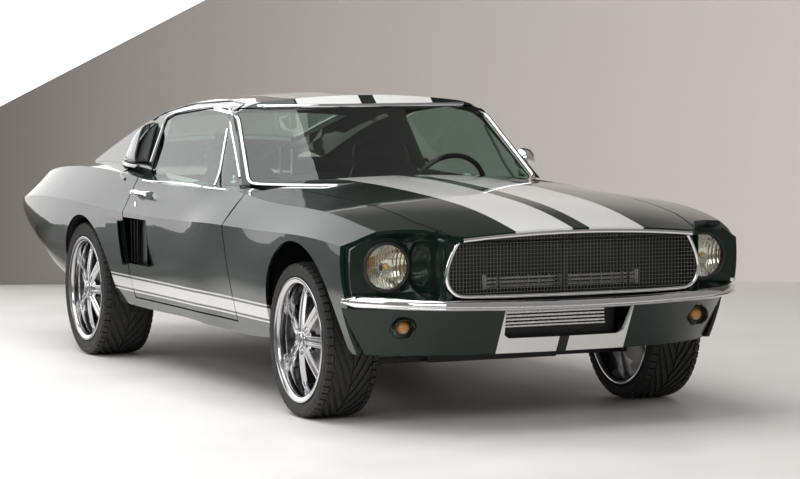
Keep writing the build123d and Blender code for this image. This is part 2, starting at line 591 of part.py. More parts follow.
def blade(curve, z, depth, grow=0.0):
    """Bumper blade along a plan curve of middle, straight's end, corner and tip."""
    (mx, _), (ex, ey), (cx, cy), (tx, ty) = curve
    inward = -depth if mx > 0 else depth
    low = z - BUMPER_HEIGHT / 2 - grow
    solids = []
    for shift, narrow in ((0, 0), (inward, 14)):
        corner_y = cy - narrow
        tip_y = ty - narrow
        back_x = tx + shift + inward * 40
        edges = [
            ThreePointArc((ex + shift, -ey, low), (mx + shift, 0, low), (ex + shift, ey, low)),
            ThreePointArc((ex + shift, ey, low), (cx + shift, corner_y, low), (tx + shift, tip_y, low)),
            Polyline((tx + shift, tip_y, low), (back_x, tip_y, low), (back_x, -tip_y, low), (tx + shift, -tip_y, low)),
            ThreePointArc((tx + shift, -tip_y, low), (cx + shift, -corner_y, low), (ex + shift, -ey, low)),
        ]
        solids.append(extrude(make_face(edges), BUMPER_HEIGHT + 2 * grow, dir=(0, 0, 1)))
    reach = 100 if mx > 0 else -100
    return (solids[0] - solids[1]) & box(tx, mx + reach, -1000, 1000, low - 10, low + BUMPER_HEIGHT + 20)


front_bumper = blade(FRONT_BUMPER, BUMPER_Z, BUMPER_DEPTH)
body_clear = hull(-SEAM) & nose_plan(-SEAM)
front_bumper = front_bumper - (body_clear & box(1900, 2400, -1000, -790, 400, 700))
front_bumper = front_bumper - (body_clear & box(1900, 2400, 790, 1000, 400, 700))
for side in (-1, 1):
    front_bumper += box(RADIATOR_X + 50 + SEAM, 2325, side * 385, side * 415, NOSE_FOOT - 9, NOSE_FOOT - SEAM)
front_bumper = max(front_bumper.solids(), key=lambda s: s.volume)
save("front_bumper", front_bumper)
bay += box(RADIATOR_X, RADIATOR_X + 50, 385, 415, 340, 500 - SEAM) + box(RADIATOR_X, RADIATOR_X + 50, -415, -385, 340, 500 - SEAM)
save("engine_bay", bay)
nose -= blade(FRONT_BUMPER, BUMPER_Z, BUMPER_DEPTH + 1, 1)
save("nose_panel", nose)

rear_bumper = blade(REAR_BUMPER, REAR_BUMPER_Z, BUMPER_DEPTH)
for side in (-1, 1):
    rear_bumper += box(-2332, -2200, side * 385, side * 415, REAR_BUMPER_Z, REAR_BUMPER_Z + 20)
rear_bumper -= hull(-SEAM) & profile(SIDE, -1000, 1000)
rear_bumper = max(rear_bumper.solids(), key=lambda s: s.volume)
save("rear_bumper", rear_bumper)

# ---- scoops -------------------------------------------------------------------------------------
PILLAR_SCOOP = [(-790, 975), (-742, 1150), (-960, 1146), (-1143, 1071), (-1207, 975)]    # x, z
scoop = (profile(PILLAR_SCOOP, -1000, -500) & cabin(-42)) - cabin(-SEAM)
scoop -= plan([(-1215, -640), (-1215, -726), (-742, -806), (-742, -1000), (-1300, -1000), (-1300, -640)], 900, 1200)
scoop = max(scoop.solids(), key=lambda s: s.volume)
save("pillar_scoops", pair(scoop))

# ---- side scoops --------------------------------------------------------------------------------
SCOOP_RISE = 22.0
SCOOP_WALL = 5.0
SCOOP = [(-606, 700), (-596, 490), (-730, 498), (-796, 560), (-800, 640), (-756, 700)]
SCOOP_MOUTH = [(-500, 694), (-500, 497), (-690, 503), (-738, 560), (-742, 640), (-720, 694)]
scoop = (hull(-SCOOP_RISE) - hull(-SEAM)) & profile(SCOOP, -1000, -700)
scoop -= (hull(SCOOP_WALL - SCOOP_RISE) - hull(-SEAM - 2)) & profile(SCOOP_MOUTH, -1000, -700)
scoop = max(scoop.solids(), key=lambda s: s.volume)
save("side_scoops", pair(scoop))

# ---- engine, driveline, cooling -----------------------------------------------------------------
CROSS_TOP = 330.0
SHAFT_Z = 385.0
save("engine", box(1010, 1700, -270, 270, CROSS_TOP + SEAM, 800))
AXLE_Z = REAR_TYRE["radius"]
DIFF_RADIUS = 110.0
driveline = rod_x(0, SHAFT_Z, 80, 420, 1010 - SEAM) + rod_x(0, SHAFT_Z, 34, REAR_AXLE + 20, 420)
driveline -= rod_y(REAR_AXLE, AXLE_Z, DIFF_RADIUS + SEAM, -120, 120)
driveline = max(driveline.solids(), key=lambda s: s.volume)
save("driveline", driveline)
cooler = box(2114, 2136, -262, 262, 352, 486)
cooler_foot = box(RADIATOR_X + 20, 2120, -200, 200, 340 + SEAM, 356)
radiator = box(RADIATOR_X - 48, RADIATOR_X - 8, -330, 330, 340 + SEAM, 762 - SEAM)
save("radiators", Compound([*radiator.solids(), *(cooler + cooler_foot).solids()]))

# ---- wheels and tyres ---------------------------------------------------------------------------
SPOKES = 7
SPINDLE = 20.0
DISC_RADIUS = 165.0
BEAD_RADIUS = 242.0
BARREL_RADIUS = 232.0
HUB_INNER = -50.0          # inner end of the hub, from the wheel's centre plane
HUB_FACE = 22.0            # hub's face, behind the rim's lip


def wheel(tyre):
    """Rim, spokes, hub and brake disc; the axle is Y and the outer side is +Y."""
    half = tyre["width"] / 2 - 1
    lip = 8.0
    section = [(RIM_RADIUS, half), (RIM_RADIUS, half - lip), (BEAD_RADIUS, half - lip),
               (BEAD_RADIUS, lip - half), (RIM_RADIUS, lip - half), (RIM_RADIUS, -half),
               (BARREL_RADIUS, -half), (BARREL_RADIUS, half - 24), (BARREL_RADIUS + 12, half)]
    rim = revolve(make_face(Polyline(*section, close=True)), Axis.Y)
    face = half - HUB_FACE
    rim += rod_y(0, 0, 62, HUB_INNER, face)
    spoke_side = [(40, face), (110, face - 6), (236, half - 62), (236, half - 90), (110, face - 34), (40, face - 34)]
    spoke = extrude(Pos(0, 0, -16) * make_face(Polyline(*spoke_side, close=True)), 32)
    for i in range(SPOKES):
        rim += Rot(0, 90 + i * 360 / SPOKES, 0) * spoke
    rim += rod_y(0, 0, DISC_RADIUS, -32, -12)
    rim -= rod_y(0, 0, SPINDLE + RUN_FIT, HUB_INNER - 10, 45)
    return rim


def tyre_ring(tyre):
    half = tyre["width"] / 2
    top = tyre["radius"]
    section = [(BEAD_RADIUS + SEAM, half - 10), (RIM_RADIUS + 1, half - 10), (RIM_RADIUS + 12, half - 2),
               (top - 32, half), (top - 10, half - 8), (top, half - TYRE_SHOULDER)]
    section = section + [(r, -y) for r, y in reversed(section)]
    return revolve(make_face(Polyline(*section, close=True)), Axis.Y)


for end, x, tyre in (("front", FRONT_AXLE, FRONT_TYRE), ("rear", REAR_AXLE, REAR_TYRE)):
    place = Pos(x, tyre["centre_y"], tyre["radius"])
    left_wheel = place * wheel(tyre)
    left_tyre = place * tyre_ring(tyre)
    save(f"wheel_{end}_left", left_wheel)
    save(f"wheel_{end}_right", mirrored(left_wheel))
    save(f"tyre_{end}_left", left_tyre)
    save(f"tyre_{end}_right", mirrored(left_tyre))

# ---- front suspension and steering --------------------------------------------------------------
HUB_Z = FRONT_TYRE["radius"]
KING_PIN = 10.0
UPRIGHT = (228.0, 432.0)

y_hub = FRONT_TYRE["centre_y"]
upright = box(FRONT_AXLE - 28, FRONT_AXLE + 28, STEER_Y - 15, STEER_Y + 17, *UPRIGHT)
upright += rod_z(FRONT_AXLE, STEER_Y, KING_PIN, UPRIGHT[0] - 24, UPRIGHT[1] + 24)
upright += rod_y(FRONT_AXLE, HUB_Z, 34, STEER_Y, y_hub + HUB_INNER - SEAM)
upright += rod_y(FRONT_AXLE, HUB_Z, SPINDLE, STEER_Y, y_hub + 44)
upright += box(FRONT_AXLE - 187, FRONT_AXLE - 20, STEER_Y - 5, STEER_Y + 15, HUB_Z - 30, HUB_Z + 30)
caliper = box(FRONT_AXLE - 187, FRONT_AXLE - 110, STEER_Y, y_hub + 3, HUB_Z - 30, HUB_Z + 30)
caliper -= box(FRONT_AXLE - DISC_RADIUS - 6, FRONT_AXLE, y_hub - 38, y_hub - 6, 0, 600)
save("knuckle_left", upright + caliper)
save("knuckle_right", mirrored(upright + caliper))

cross = box(FRONT_AXLE - 60, FRONT_AXLE + 60, -300, 300, 205, CROSS_TOP)
cross += box(FRONT_AXLE - 60, FRONT_AXLE + 60, -440, 440, 250, FLOOR - SEAM)
upper_arms = []
for side in (-1, 1):
    y = side * STEER_Y
    low_boss = rod_z(FRONT_AXLE, y, 20, 205, UPRIGHT[0] - SEAM)
    low_arm = box(FRONT_AXLE - 16, FRONT_AXLE + 16, side * 290, y, 205, UPRIGHT[0] - SEAM)
    cross = cross + low_boss + low_arm - rod_z(FRONT_AXLE, y, KING_PIN + RUN_FIT, 150, UPRIGHT[0])
    boss = rod_z(FRONT_AXLE, y, 20, UPRIGHT[1] + SEAM, UPRIGHT[1] + 22)
    arm = box(FRONT_AXLE - 16, FRONT_AXLE + 16, side * (APRON_Y + 10 + SEAM), y, UPRIGHT[1] + SEAM, UPRIGHT[1] + 22)
    upper_arms.append(boss + arm - rod_z(FRONT_AXLE, y, KING_PIN + RUN_FIT, UPRIGHT[1], UPRIGHT[1] + 50))
save("front_suspension", Compound([*cross.solids(), *upper_arms[0].solids(), *upper_arms[1].solids()]))

# ---- rear suspension, exhaust, fuel tank --------------------------------------------------------
LEAF = [(-930, 449.7), (-930, 405), (REAR_AXLE, 262), (-1850, 405), (-1850, 449.7), (-1835, 449.7), (-1835, 418),
        (REAR_AXLE, 276), (-945, 418), (-945, 449.7)]
axle = rod_y(REAR_AXLE, AXLE_Z, 38, -(REAR_TYRE["centre_y"] + HUB_INNER - SEAM), REAR_TYRE["centre_y"] + HUB_INNER - SEAM)
axle += rod_y(REAR_AXLE, AXLE_Z, DIFF_RADIUS, -95, 95)
axle += rod_y(REAR_AXLE, AXLE_Z, SPINDLE, -(REAR_TYRE["centre_y"] + 44), REAR_TYRE["centre_y"] + 44)
for side in (-1, 1):
    y0, y1 = sorted((side * (RAIL_Y - 30), side * (RAIL_Y + 30)))
    axle += profile(LEAF, y0, y1)
    axle += box(REAR_AXLE - 40, REAR_AXLE + 40, y0, y1, 262, 310)
save("rear_suspension", axle)

PIPE_Z = 252.0
PIPE_Y = 300.0
pipe = rod_x(-PIPE_Y, PIPE_Z, 28, -2230, 1000)
pipe += box(-750, -250, -PIPE_Y - 80, -PIPE_Y + 80, 218, 290)
pipe += box(-520, -480, -PIPE_Y - 10, -PIPE_Y + 10, 280, FLOOR - SEAM)
pipe += box(-2170, -2150, -PIPE_Y - 10, -PIPE_Y + 10, PIPE_Z, TRUNK_FLOOR - SEAM)
save("exhaust", pair(pipe))
save("fuel_tank", box(-2100, -1620, -255, 255, 420, TRUNK_FLOOR - SEAM))

# ---- cabin --------------------------------------------------------------------------------------
DASH_FACE = 430.0
DASH = [(DASH_FACE, 770), (DASH_FACE, 862), (450, 880), (560, 872), (640, 845), (FIREWALL - 10 - SEAM, 845),
        (FIREWALL - 10 - SEAM, 640), (560, 640)]
save("dashboard", profile(DASH, -DOOR_RAIL + 12, DOOR_RAIL - 12))

SEAT_Y = 378.0
SEAT_WIDTH = 450.0
SEAT = [(-360, FLOOR_TOP + SEAM), (150, FLOOR_TOP + SEAM), (190, 500), (150, 540), (-230, 505), (-395, 1000),
        (-430, 1060), (-510, 1060), (-525, 1010), (-420, 500)]
seat = profile(SEAT, -SEAT_Y - SEAT_WIDTH / 2, -SEAT_Y + SEAT_WIDTH / 2)
save("front_seats", pair(seat))
BENCH = [(-610, FLOOR_TOP + SEAM), (-610, 500), (-850, 480), (-960, 835), (-1060, 835), (-975, 580 + SEAM),
         (SEAT_RISER + SEAM, 580 + SEAM), (SEAT_RISER + SEAM, FLOOR_TOP + SEAM)]
bench = profile(BENCH, -575, 575) - box(-1000, -500, -TUNNEL - SEAM, TUNNEL + SEAM, 200, TUNNEL_TOP + SEAM)
save("rear_seat", bench)

STEERING = dict(x=350.0, y=370.0, z=845.0, radius=185.0, tilt=110.0)
helm = Torus(STEERING["radius"], 13) + Cylinder(34, 30)
helm += Box(30, 2 * STEERING["radius"] - 14, 8)
helm += Pos(STEERING["radius"] / 2, 0, 0) * Box(STEERING["radius"] - 7, 34, 8)
helm += Pos(0, 0, 80) * Cylinder(22, 160)
helm = Pos(STEERING["x"], STEERING["y"], STEERING["z"]) * Rot(0, STEERING["tilt"], 0) * helm
helm -= box(DASH_FACE - SEAM, 900, 200, 500, 600, 882)
helm = max(helm.solids(), key=lambda s: s.volume)
save("steering_wheel", helm)

MIRROR = dict(x=218.0, y=843.0, z=988.0, radius=52.0)
mirror_head = rod_x(MIRROR["y"], MIRROR["z"], MIRROR["radius"], MIRROR["x"] - 14, MIRROR["x"] + 14)
mirror_stalk = box(MIRROR["x"] - 10, MIRROR["x"] + 10, 785, 803, 880, MIRROR["z"])
save("door_mirror", (mirror_head + mirror_stalk) - HULL_CLEAR)
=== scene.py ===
from math import cos, pi, radians, sin, sqrt

import bmesh
import bpy
from mathutils import Matrix, Vector
from mathutils.bvhtree import BVHTree


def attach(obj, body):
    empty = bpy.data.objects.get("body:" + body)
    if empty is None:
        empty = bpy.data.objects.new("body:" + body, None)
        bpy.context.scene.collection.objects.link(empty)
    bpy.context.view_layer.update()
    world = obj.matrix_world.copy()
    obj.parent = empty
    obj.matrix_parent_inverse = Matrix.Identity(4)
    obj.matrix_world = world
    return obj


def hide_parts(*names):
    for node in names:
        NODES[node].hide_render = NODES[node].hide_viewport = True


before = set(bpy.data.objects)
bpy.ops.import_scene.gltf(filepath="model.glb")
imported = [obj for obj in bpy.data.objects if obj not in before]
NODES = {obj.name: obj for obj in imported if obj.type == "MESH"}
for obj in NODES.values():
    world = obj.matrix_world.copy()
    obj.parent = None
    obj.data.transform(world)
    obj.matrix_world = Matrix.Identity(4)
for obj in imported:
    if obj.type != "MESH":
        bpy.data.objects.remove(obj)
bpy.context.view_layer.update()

# ---- Camera ----
# It stands off the car's right front corner, a little above the hood, and has a long lens. It is
# tipped slightly about its own axis.
AZIMUTH, ELEVATION, ROLL = radians(24.49), radians(3.79), radians(-0.2)
CAMERA_PLACE = Vector((12.193, -5.27, 1.497))
LENS = 127.6
look_back = Vector((cos(AZIMUTH) * cos(ELEVATION), -sin(AZIMUTH) * cos(ELEVATION), sin(ELEVATION)))
level = Vector((0, 0, 1)).cross(look_back).normalized()
rise = look_back.cross(level)
aside = level * cos(ROLL) + rise * sin(ROLL)
above = rise * cos(ROLL) - level * sin(ROLL)
camera = bpy.data.objects.new("camera", bpy.data.cameras.new("camera"))
camera.data.sensor_width = 36
camera.data.lens = LENS
camera.data.clip_end = 200
facing = Matrix((aside, above, look_back)).transposed().to_4x4()
camera.matrix_world = Matrix.Translation(CAMERA_PLACE) @ facing
bpy.context.scene.collection.objects.link(camera)
bpy.context.scene.camera = camera
bpy.context.scene.view_settings.view_transform = "Standard"

# ---- Studio ----
# A pale concrete floor, turned nearly black beyond the left edge of the camera's view as painted
# shade; a wall with painted shade that darkens it to the left and towards the top, with a lit panel
# on it; one large soft light above the car and two weaker ones in front of and beside it.


class Level:
    """A shader socket; sums and products of it add their Math nodes."""

    def __init__(self, finish, socket):
        self.finish = finish
        self.socket = socket

    def math(self, operation, *terms):
        return self.finish.node("ShaderNodeMath", {"operation": operation}, dict(enumerate(terms)))

    def __add__(self, other):
        return self.math("ADD", self, other)

    def __sub__(self, other):
        return self.math("SUBTRACT", self, other)

    def __rsub__(self, other):
        return self.math("SUBTRACT", other, self)

    def __mul__(self, other):
        return self.math("MULTIPLY", self, other)

    def __gt__(self, other):
        return self.math("GREATER_THAN", self, other)

    def __lt__(self, other):
        return self.math("LESS_THAN", self, other)

    def __abs__(self):
        return self.math("ABSOLUTE", self)

    def between(self, low, high):
        return (self > low) * (self < high)


class Finish:
    """A material: constants go on the shader's own sockets, the rest through links.

    rough holds a noise's scale, its share of the roughness and the least roughness; grain holds
    the scale, depth and strength of fine bumps.
    """

    def __init__(self, name, constants, rough=None, grain=None):
        self.material = bpy.data.materials.new(name)
        self.material.use_nodes = True
        self.tree = self.material.node_tree
        self.shader = self.tree.nodes["Principled BSDF"]
        for socket, value in constants.items():
            self.shader.inputs[socket].default_value = value
        if rough:
            self.feed("Roughness", self.noise(rough[0]) * rough[1] + rough[2])
        if grain:
            self.bump(self.noise(grain[0]), *grain[1:])

    def node(self, kind, settings=None, values=None, output=0):
        made = self.tree.nodes.new(kind)
        for key, value in (settings or {}).items():
            setattr(made, key, value)
        for key, value in (values or {}).items():
            if isinstance(value, Level):
                self.tree.links.new(value.socket, made.inputs[key])
            else:
                made.inputs[key].default_value = value
        return Level(self, made.outputs[output])

    def feed(self, socket, level):
        self.tree.links.new(level.socket, self.shader.inputs[socket])

    def place(self):
        return self.node("ShaderNodeTexCoord", output="Object")

    def axes(self):
        where = self.place()
        return [self.node("ShaderNodeSeparateXYZ", {}, {0: where}, output=i) for i in range(3)]

    def noise(self, scale, detail=3.0):
        return self.node("ShaderNodeTexNoise", {}, {"Vector": self.place(), "Scale": scale, "Detail": detail})

    def wave(self, direction, scale):
        return self.node("ShaderNodeTexWave", {"bands_direction": direction},
                         {"Vector": self.place(), "Scale": scale})

    def cells(self, scale, distance="EUCLIDEAN"):
        return self.node("ShaderNodeTexVoronoi", {"distance": distance},
                         {"Vector": self.place(), "Scale": scale})

    def mix(self, mask, first, second):
        return self.node("ShaderNodeMix", {"data_type": "RGBA"}, {0: mask, 6: first, 7: second}, output=2)

    def bump(self, height, distance, strength):
        values = {"Height": height, "Distance": distance, "Strength": strength}
        self.feed("Normal", self.node("ShaderNodeBump", {}, values))

    def ranged(self, value, low, high, top=1.0):
        return self.node("ShaderNodeMapRange", {}, {"Value": value, "From Min": low, "From Max": high,
                                                    "To Max": top})

    def transparent(self):
        return self.tree.nodes.new("ShaderNodeBsdfTransparent")

    def blend(self, share, first, second):
        """Shows a share of the second shader over the first."""
        both = self.node("ShaderNodeMixShader", {}, {0: share}).socket
        self.tree.links.new(first.outputs[0], both.node.inputs[1])
        self.tree.links.new(second.outputs[0], both.node.inputs[2])
        self.tree.links.new(both, self.tree.nodes["Material Output"].inputs["Surface"])


def sheet(name, finish, corners):
    """One flat face of the studio."""
    mesh = bmesh.new()
    mesh.faces.new([mesh.verts.new(corner) for corner in corners])
    data = bpy.data.meshes.new(name)
    mesh.to_mesh(data)
    mesh.free()
    data.materials.append(finish.material)
    made = bpy.data.objects.new(name, data)
    bpy.context.scene.collection.objects.link(made)


concrete = Finish("concrete", {"Roughness": 0.5})
blotches = concrete.noise(0.9, 6.0)
pale = concrete.mix(blotches, (0.76, 0.735, 0.705, 1), (0.97, 0.955, 0.94, 1))
x, y, z = concrete.axes()
# Painted shade: beyond the left edge of the camera's view the floor is painted nearly black.
centred = x * level.x + y * level.y - CAMERA_PLACE.dot(level)
depth = CAMERA_PLACE.dot(look_back) - (x * look_back.x + y * look_back.y)
edge = centred + depth * (camera.data.sensor_width / 2 / LENS)
lit = concrete.ranged(edge, -0.5, -0.12)
concrete.feed("Base Color", concrete.mix(lit, (0.045, 0.043, 0.04, 1), pale))
concrete.feed("Roughness", concrete.noise(2.2, 5.0) * 0.35 + 0.3)
concrete.bump(concrete.noise(60.0), 0.002, 0.3)
sheet("floor", concrete, [(-30, -30, 0), (30, -30, 0), (30, 30, 0), (-30, 30, 0)])

WALL_DISTANCE = 18.3       # from the camera, square to its view
wall_paint = Finish("wall_paint", {"Roughness": 0.85, "Emission Strength": 1.0})
x, y, z = wall_paint.axes()
along = x * 0.4146 + y * 0.91 - 0.26
# Painted shade: the wall's colour darkens towards the left.
shade = wall_paint.ranged(along, -2.6, 2.6)
grey = wall_paint.mix(shade, (0.235, 0.215, 0.19, 1), (0.98, 0.92, 0.87, 1))
panel = (z > along * 0.512 + 2.474) * (along < -1.0)
# Painted shade: higher up, the wall turns nearly black.
shade_above = wall_paint.ranged(z, 2.3, 3.6, 0.8)
grey = wall_paint.mix(shade_above, grey, (0.03, 0.03, 0.03, 1))
wall_paint.feed("Base Color", wall_paint.mix(panel, grey, (0.95, 0.94, 0.93, 1)))
wall_paint.feed("Emission Color", wall_paint.mix(panel, (0, 0, 0, 1), (1.2, 1.2, 1.2, 1)))
behind = wall_paint.node("ShaderNodeNewGeometry", output="Backfacing")
wall_paint.blend(behind, wall_paint.shader, wall_paint.transparent())
wall_foot = CAMERA_PLACE - Vector((look_back.x, look_back.y, 0)).normalized() * WALL_DISTANCE
wall_foot.z = 0
corners = ((-16, 0), (16, 0), (16, 12), (-16, 12))
sheet("wall", wall_paint, [wall_foot + level * share + Vector((0, 0, height)) for share, height in corners])

SKY = [(0.0, 0.25), (0.5, 0.28), (0.56, 0.26), (0.66, 0.24), (0.82, 0.24), (1.0, 0.3)]   # height, grey
world = bpy.data.worlds.new("studio")
world.use_nodes = True
sky = world.node_tree.nodes
upward = sky.new("ShaderNodeSeparateXYZ")
ramp = sky.new("ShaderNodeValToRGB")
raised_scale = sky.new("ShaderNodeMapRange")
raised_scale.inputs["From Min"].default_value = -1
links = world.node_tree.links
links.new(sky.new("ShaderNodeTexCoord").outputs["Generated"], upward.inputs[0])
links.new(upward.outputs["Z"], raised_scale.inputs[0])
links.new(raised_scale.outputs[0], ramp.inputs[0])
stops = ramp.color_ramp.elements
for height, grey in SKY:
    stop = stops[0] if height == 0 else stops[-1] if height == 1 else stops.new(height)
    stop.color = (grey, grey * 0.975, grey * 0.95, 1)
links.new(ramp.outputs[0], sky["Background"].inputs["Color"])
bpy.context.scene.world = world


def soft_light(name, place, aim, size, power):
    lamp = bpy.data.lights.new(name, "AREA")
    lamp.shape = "RECTANGLE"
    lamp.size, lamp.size_y = size
    lamp.energy = power
    holder = bpy.data.objects.new(name, lamp)
    holder.location = place
    holder.rotation_euler = (Vector(aim) - Vector(place)).to_track_quat("-Z", "Y").to_euler()
    bpy.context.scene.collection.objects.link(holder)


soft_light("overhead", (0.5, -2.4, 5.2), (0.5, -1.6, 0), (6.0, 6.0), 300)
soft_light("front_fill", (8.0, -2.5, 4.4), (3.5, -1.5, 0.0), (5, 3.0), 150)
soft_light("side_fill", (0.5, -8.5, 4.4), (0.0, -1.5, 0.0), (8, 2.4), 120)

# ---- Body panels ----
# Pressed steel, in deep green metallic paint under clear lacquer, with white racing stripes over
# the top and along the sills. The shut lines between the panels are real gaps.
GREEN = (0.0035, 0.0135, 0.0095, 1)
WHITE = (0.78, 0.78, 0.76, 1)
DARK = (0.006, 0.007, 0.007, 1)
CENTRE_GAP = 0.037


def painted(name):
    """Paint with the same flakes and lacquer on every panel."""
    paint = Finish(name, {"Base Color": GREEN, "Metallic": 0.2, "Roughness": 0.36, "Specular IOR Level": 0.1,
                          "Coat Weight": 1.0, "Coat Roughness": 0.02, "Coat IOR": 1.42})
    paint.bump(paint.noise(1400.0, 1.0), 0.0004, 0.12)
    return paint


def striped(paint, mask):
    """White where the mask is 1."""
    paint.feed("Base Color", paint.mix(mask, GREEN, WHITE))
    paint.feed("Metallic", (1 - mask) * 0.2)


plain_paint = painted("green_paint")

striped_paint = painted("striped_paint")
x, y, z = striped_paint.axes()
outer = (2.344 - x) * 0.026 + 0.285
striped(striped_paint, (abs(y) > CENTRE_GAP) * (abs(y) < outer))

sill_paint = painted("sill_paint")
x, y, z = sill_paint.axes()
lines = z.between(0.36, 0.367) + z.between(0.376, 0.424) + z.between(0.433, 0.44)
lines = lines * (abs(y) > 0.8) * x.between(-0.86, 1.17)
# On the door's rear, in the recess ahead of the scoop, the paint is dark with little lacquer: partly the
# scoop's dark mouth, partly painted shade in the recess.
recess = x.between(-0.576, -0.2445) * z.between(0.5, 0.7205)
sill_paint.feed("Base Color", sill_paint.mix(recess, sill_paint.mix(lines, GREEN, WHITE), DARK))
sill_paint.feed("Metallic", (1 - lines) * 0.2)
sill_paint.feed("Coat Weight", 1 - recess * 0.9)

apron_paint = painted("apron_paint")
x, y, z = apron_paint.axes()
striped(apron_paint, abs(y).between(0.022, 0.288))

nose_paint = painted("nose_paint")
x, y, z = nose_paint.axes()
throat = (abs(y) < 0.5655) * (x > 2.15) * z.between(0.52, 0.77)
nose_paint.feed("Base Color", nose_paint.mix(throat, GREEN, DARK))
nose_paint.feed("Coat Weight", 1 - throat)

black_satin = Finish("black_satin", {"Base Color": (0.012, 0.012, 0.013, 1), "Roughness": 0.45},
                     grain=(900.0, 0.0003, 0.3))


def dress(finish, *names):
    for name in names:
        for slot in NODES[name].material_slots:
            slot.material = finish.material


dress(striped_paint, "hood", "roof_shell", "trunk_lid", "cowl", "tail_panel")
dress(nose_paint, "nose_panel")
dress(sill_paint, "door_left", "door_right", "fender_left", "fender_right", "quarter_left", "quarter_right",
      "rockers")
dress(apron_paint, "front_valance")
dress(plain_paint, "rear_valance", "pillar_scoops", "side_scoops")
dress(black_satin, "engine_bay", "firewall", "floor_pan", "package_shelf", "rear_wheelhouses", "dashboard",
      "grille", "radiators", "engine", "fuel_tank", "front_suspension", "rear_suspension", "driveline",
      "exhaust", "knuckle_left", "knuckle_right")

# ---- Glass ----
# Flat and curved panes, faintly green. They let light straight through, and only their outer faces
# mirror the studio.


def clear_pane(name, tint, rough=0.0, reflecting=0.75):
    """Glass that lets light straight through and mirrors at shallow angles."""
    pane = Finish(name, {"Base Color": (0.9, 0.93, 0.92, 1), "Roughness": rough, "Metallic": 1.0})
    through = pane.transparent()
    through.inputs["Color"].default_value = tint
    share = pane.node("ShaderNodeFresnel", {}, {"IOR": 1.42})
    outside = 1 - pane.node("ShaderNodeNewGeometry", output="Backfacing")
    pane.blend((share * reflecting + 0.02) * outside, through, pane.shader)
    return pane


window_glass = clear_pane("window_glass", (0.72, 0.79, 0.76, 1), 0.0, 1.25)
dress(window_glass, "windshield", "rear_window", "door_glass_left", "door_glass_right")

# ---- Bumpers and bright metal ----
# Chrome-plated steel for both bumpers and the mirror; the bumpers' rounded blades are shaped further
# down.
chrome = Finish("chrome", {"Base Color": (0.86, 0.86, 0.87, 1), "Metallic": 1.0, "Roughness": 0.05})
dress(chrome, "front_bumper", "rear_bumper", "door_mirror")

# ---- Wheels ----
# Deep cast-alloy wheels with a wide polished lip, seven grooved spokes, a capped hub and a drilled
# brake disc behind. Each turns on its own body.
SPOKES = 7
LIP_RADIUS = 0.258
alloy = Finish("polished_alloy", {"Base Color": (0.6, 0.6, 0.61, 1), "Metallic": 1.0},
               rough=(35.0, 0.1, 0.11))
disc_steel = Finish("disc_steel", {"Base Color": (0.42, 0.41, 0.4, 1), "Metallic": 1.0},
                    rough=(90.0, 0.25, 0.22))
dark_slot = Finish("dark_slot", {"Base Color": (0.01, 0.01, 0.01, 1), "Roughness": 0.6})
SIDES = (("left", 1), ("right", -1))
FLIP = {1: Matrix.Identity(4), -1: Matrix.Diagonal((1, -1, 1, 1))}
TO_SIDE = Matrix.Rotation(-pi / 2, 4, "X")        # a shape turned round Z comes to lie round +Y


def turned(section, steps=96, mesh=None, closed=True):
    """Spins a section of (radius, height) points round Z."""
    mesh = mesh or bmesh.new()
    start = [mesh.verts.new((radius, 0, height)) for radius, height in section]
    pairs = list(zip(start, start[1:])) + ([(start[-1], start[0])] if closed else [])
    edges = [mesh.edges.new(pair) for pair in pairs]
    bmesh.ops.spin(mesh, geom=start + edges, cent=(0, 0, 0), axis=(0, 0, 1), angle=2 * pi, steps=steps,
                   use_merge=True)
    return mesh


def finished(name, mesh, finish, body, smooth=40, bevel=0.0, move=None):
    """Turns a bmesh into a piece that rides on a body."""
    if move is not None:
        bmesh.ops.transform(mesh, matrix=move, verts=mesh.verts[:])
    bmesh.ops.remove_doubles(mesh, verts=mesh.verts[:], dist=1e-6)
    bmesh.ops.recalc_face_normals(mesh, faces=mesh.faces[:])
    for face in mesh.faces:
        face.smooth = True
    for edge in mesh.edges:
        if len(edge.link_faces) == 2 and edge.calc_face_angle() > radians(smooth):
            edge.smooth = False
    data = bpy.data.meshes.new(name)
    mesh.to_mesh(data)
    mesh.free()
    data.materials.append(finish.material)
    piece = bpy.data.objects.new(name, data)
    bpy.context.scene.collection.objects.link(piece)
    if bevel:
        edge_round = piece.modifiers.new("edges", "BEVEL")
        edge_round.width = bevel
        edge_round.segments = 2
        edge_round.limit_method = "ANGLE"
        edge_round.angle_limit = radians(40)
    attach(piece, body)
    return piece


def thickened(piece, thickness, offset=-1.0):
    """Gives a sheet a thickness, inward unless it is offset."""
    wall = piece.modifiers.new("wall", "SOLIDIFY")
    wall.thickness = thickness
    wall.offset = offset


def vertices(geometry):
    return [part for part in geometry if isinstance(part, bmesh.types.BMVert)]


def grid(mesh, columns, rows):
    """A flat sheet's vertices, each with its shares along and up."""
    for vert in bmesh.ops.create_grid(mesh, x_segments=columns, y_segments=rows, size=1)["verts"]:
        yield vert, (vert.co.x + 1) / 2, (vert.co.y + 1) / 2


def raised(mesh, sheet_verts):
    """Extrudes a sheet's faces; gives the new vertices."""
    flat = list({face for vert in sheet_verts for face in vert.link_faces})
    return vertices(bmesh.ops.extrude_face_region(mesh, geom=flat)["geom"])


def repeated(mesh, verts, count):
    """Copies what the vertices span, evenly round Z."""
    verts = set(verts)
    whole = [*verts, *{e for v in verts for e in v.link_edges}, *{f for v in verts for f in v.link_faces}]
    for turn in range(1, count):
        twin = bmesh.ops.duplicate(mesh, geom=whole)["geom"]
        bmesh.ops.transform(mesh, matrix=Matrix.Rotation(2 * pi * turn / count, 4, "Z"), verts=vertices(twin))


def block(mesh, place, size):
    """A box of a size, centred on a place."""
    bmesh.ops.create_cube(mesh, size=1, matrix=place @ Matrix.Diagonal((*size, 1)))


def slab(mesh, low, high):
    """A box between two corners."""
    low, high = Vector(low), Vector(high)
    block(mesh, Matrix.Translation((low + high) / 2), high - low)


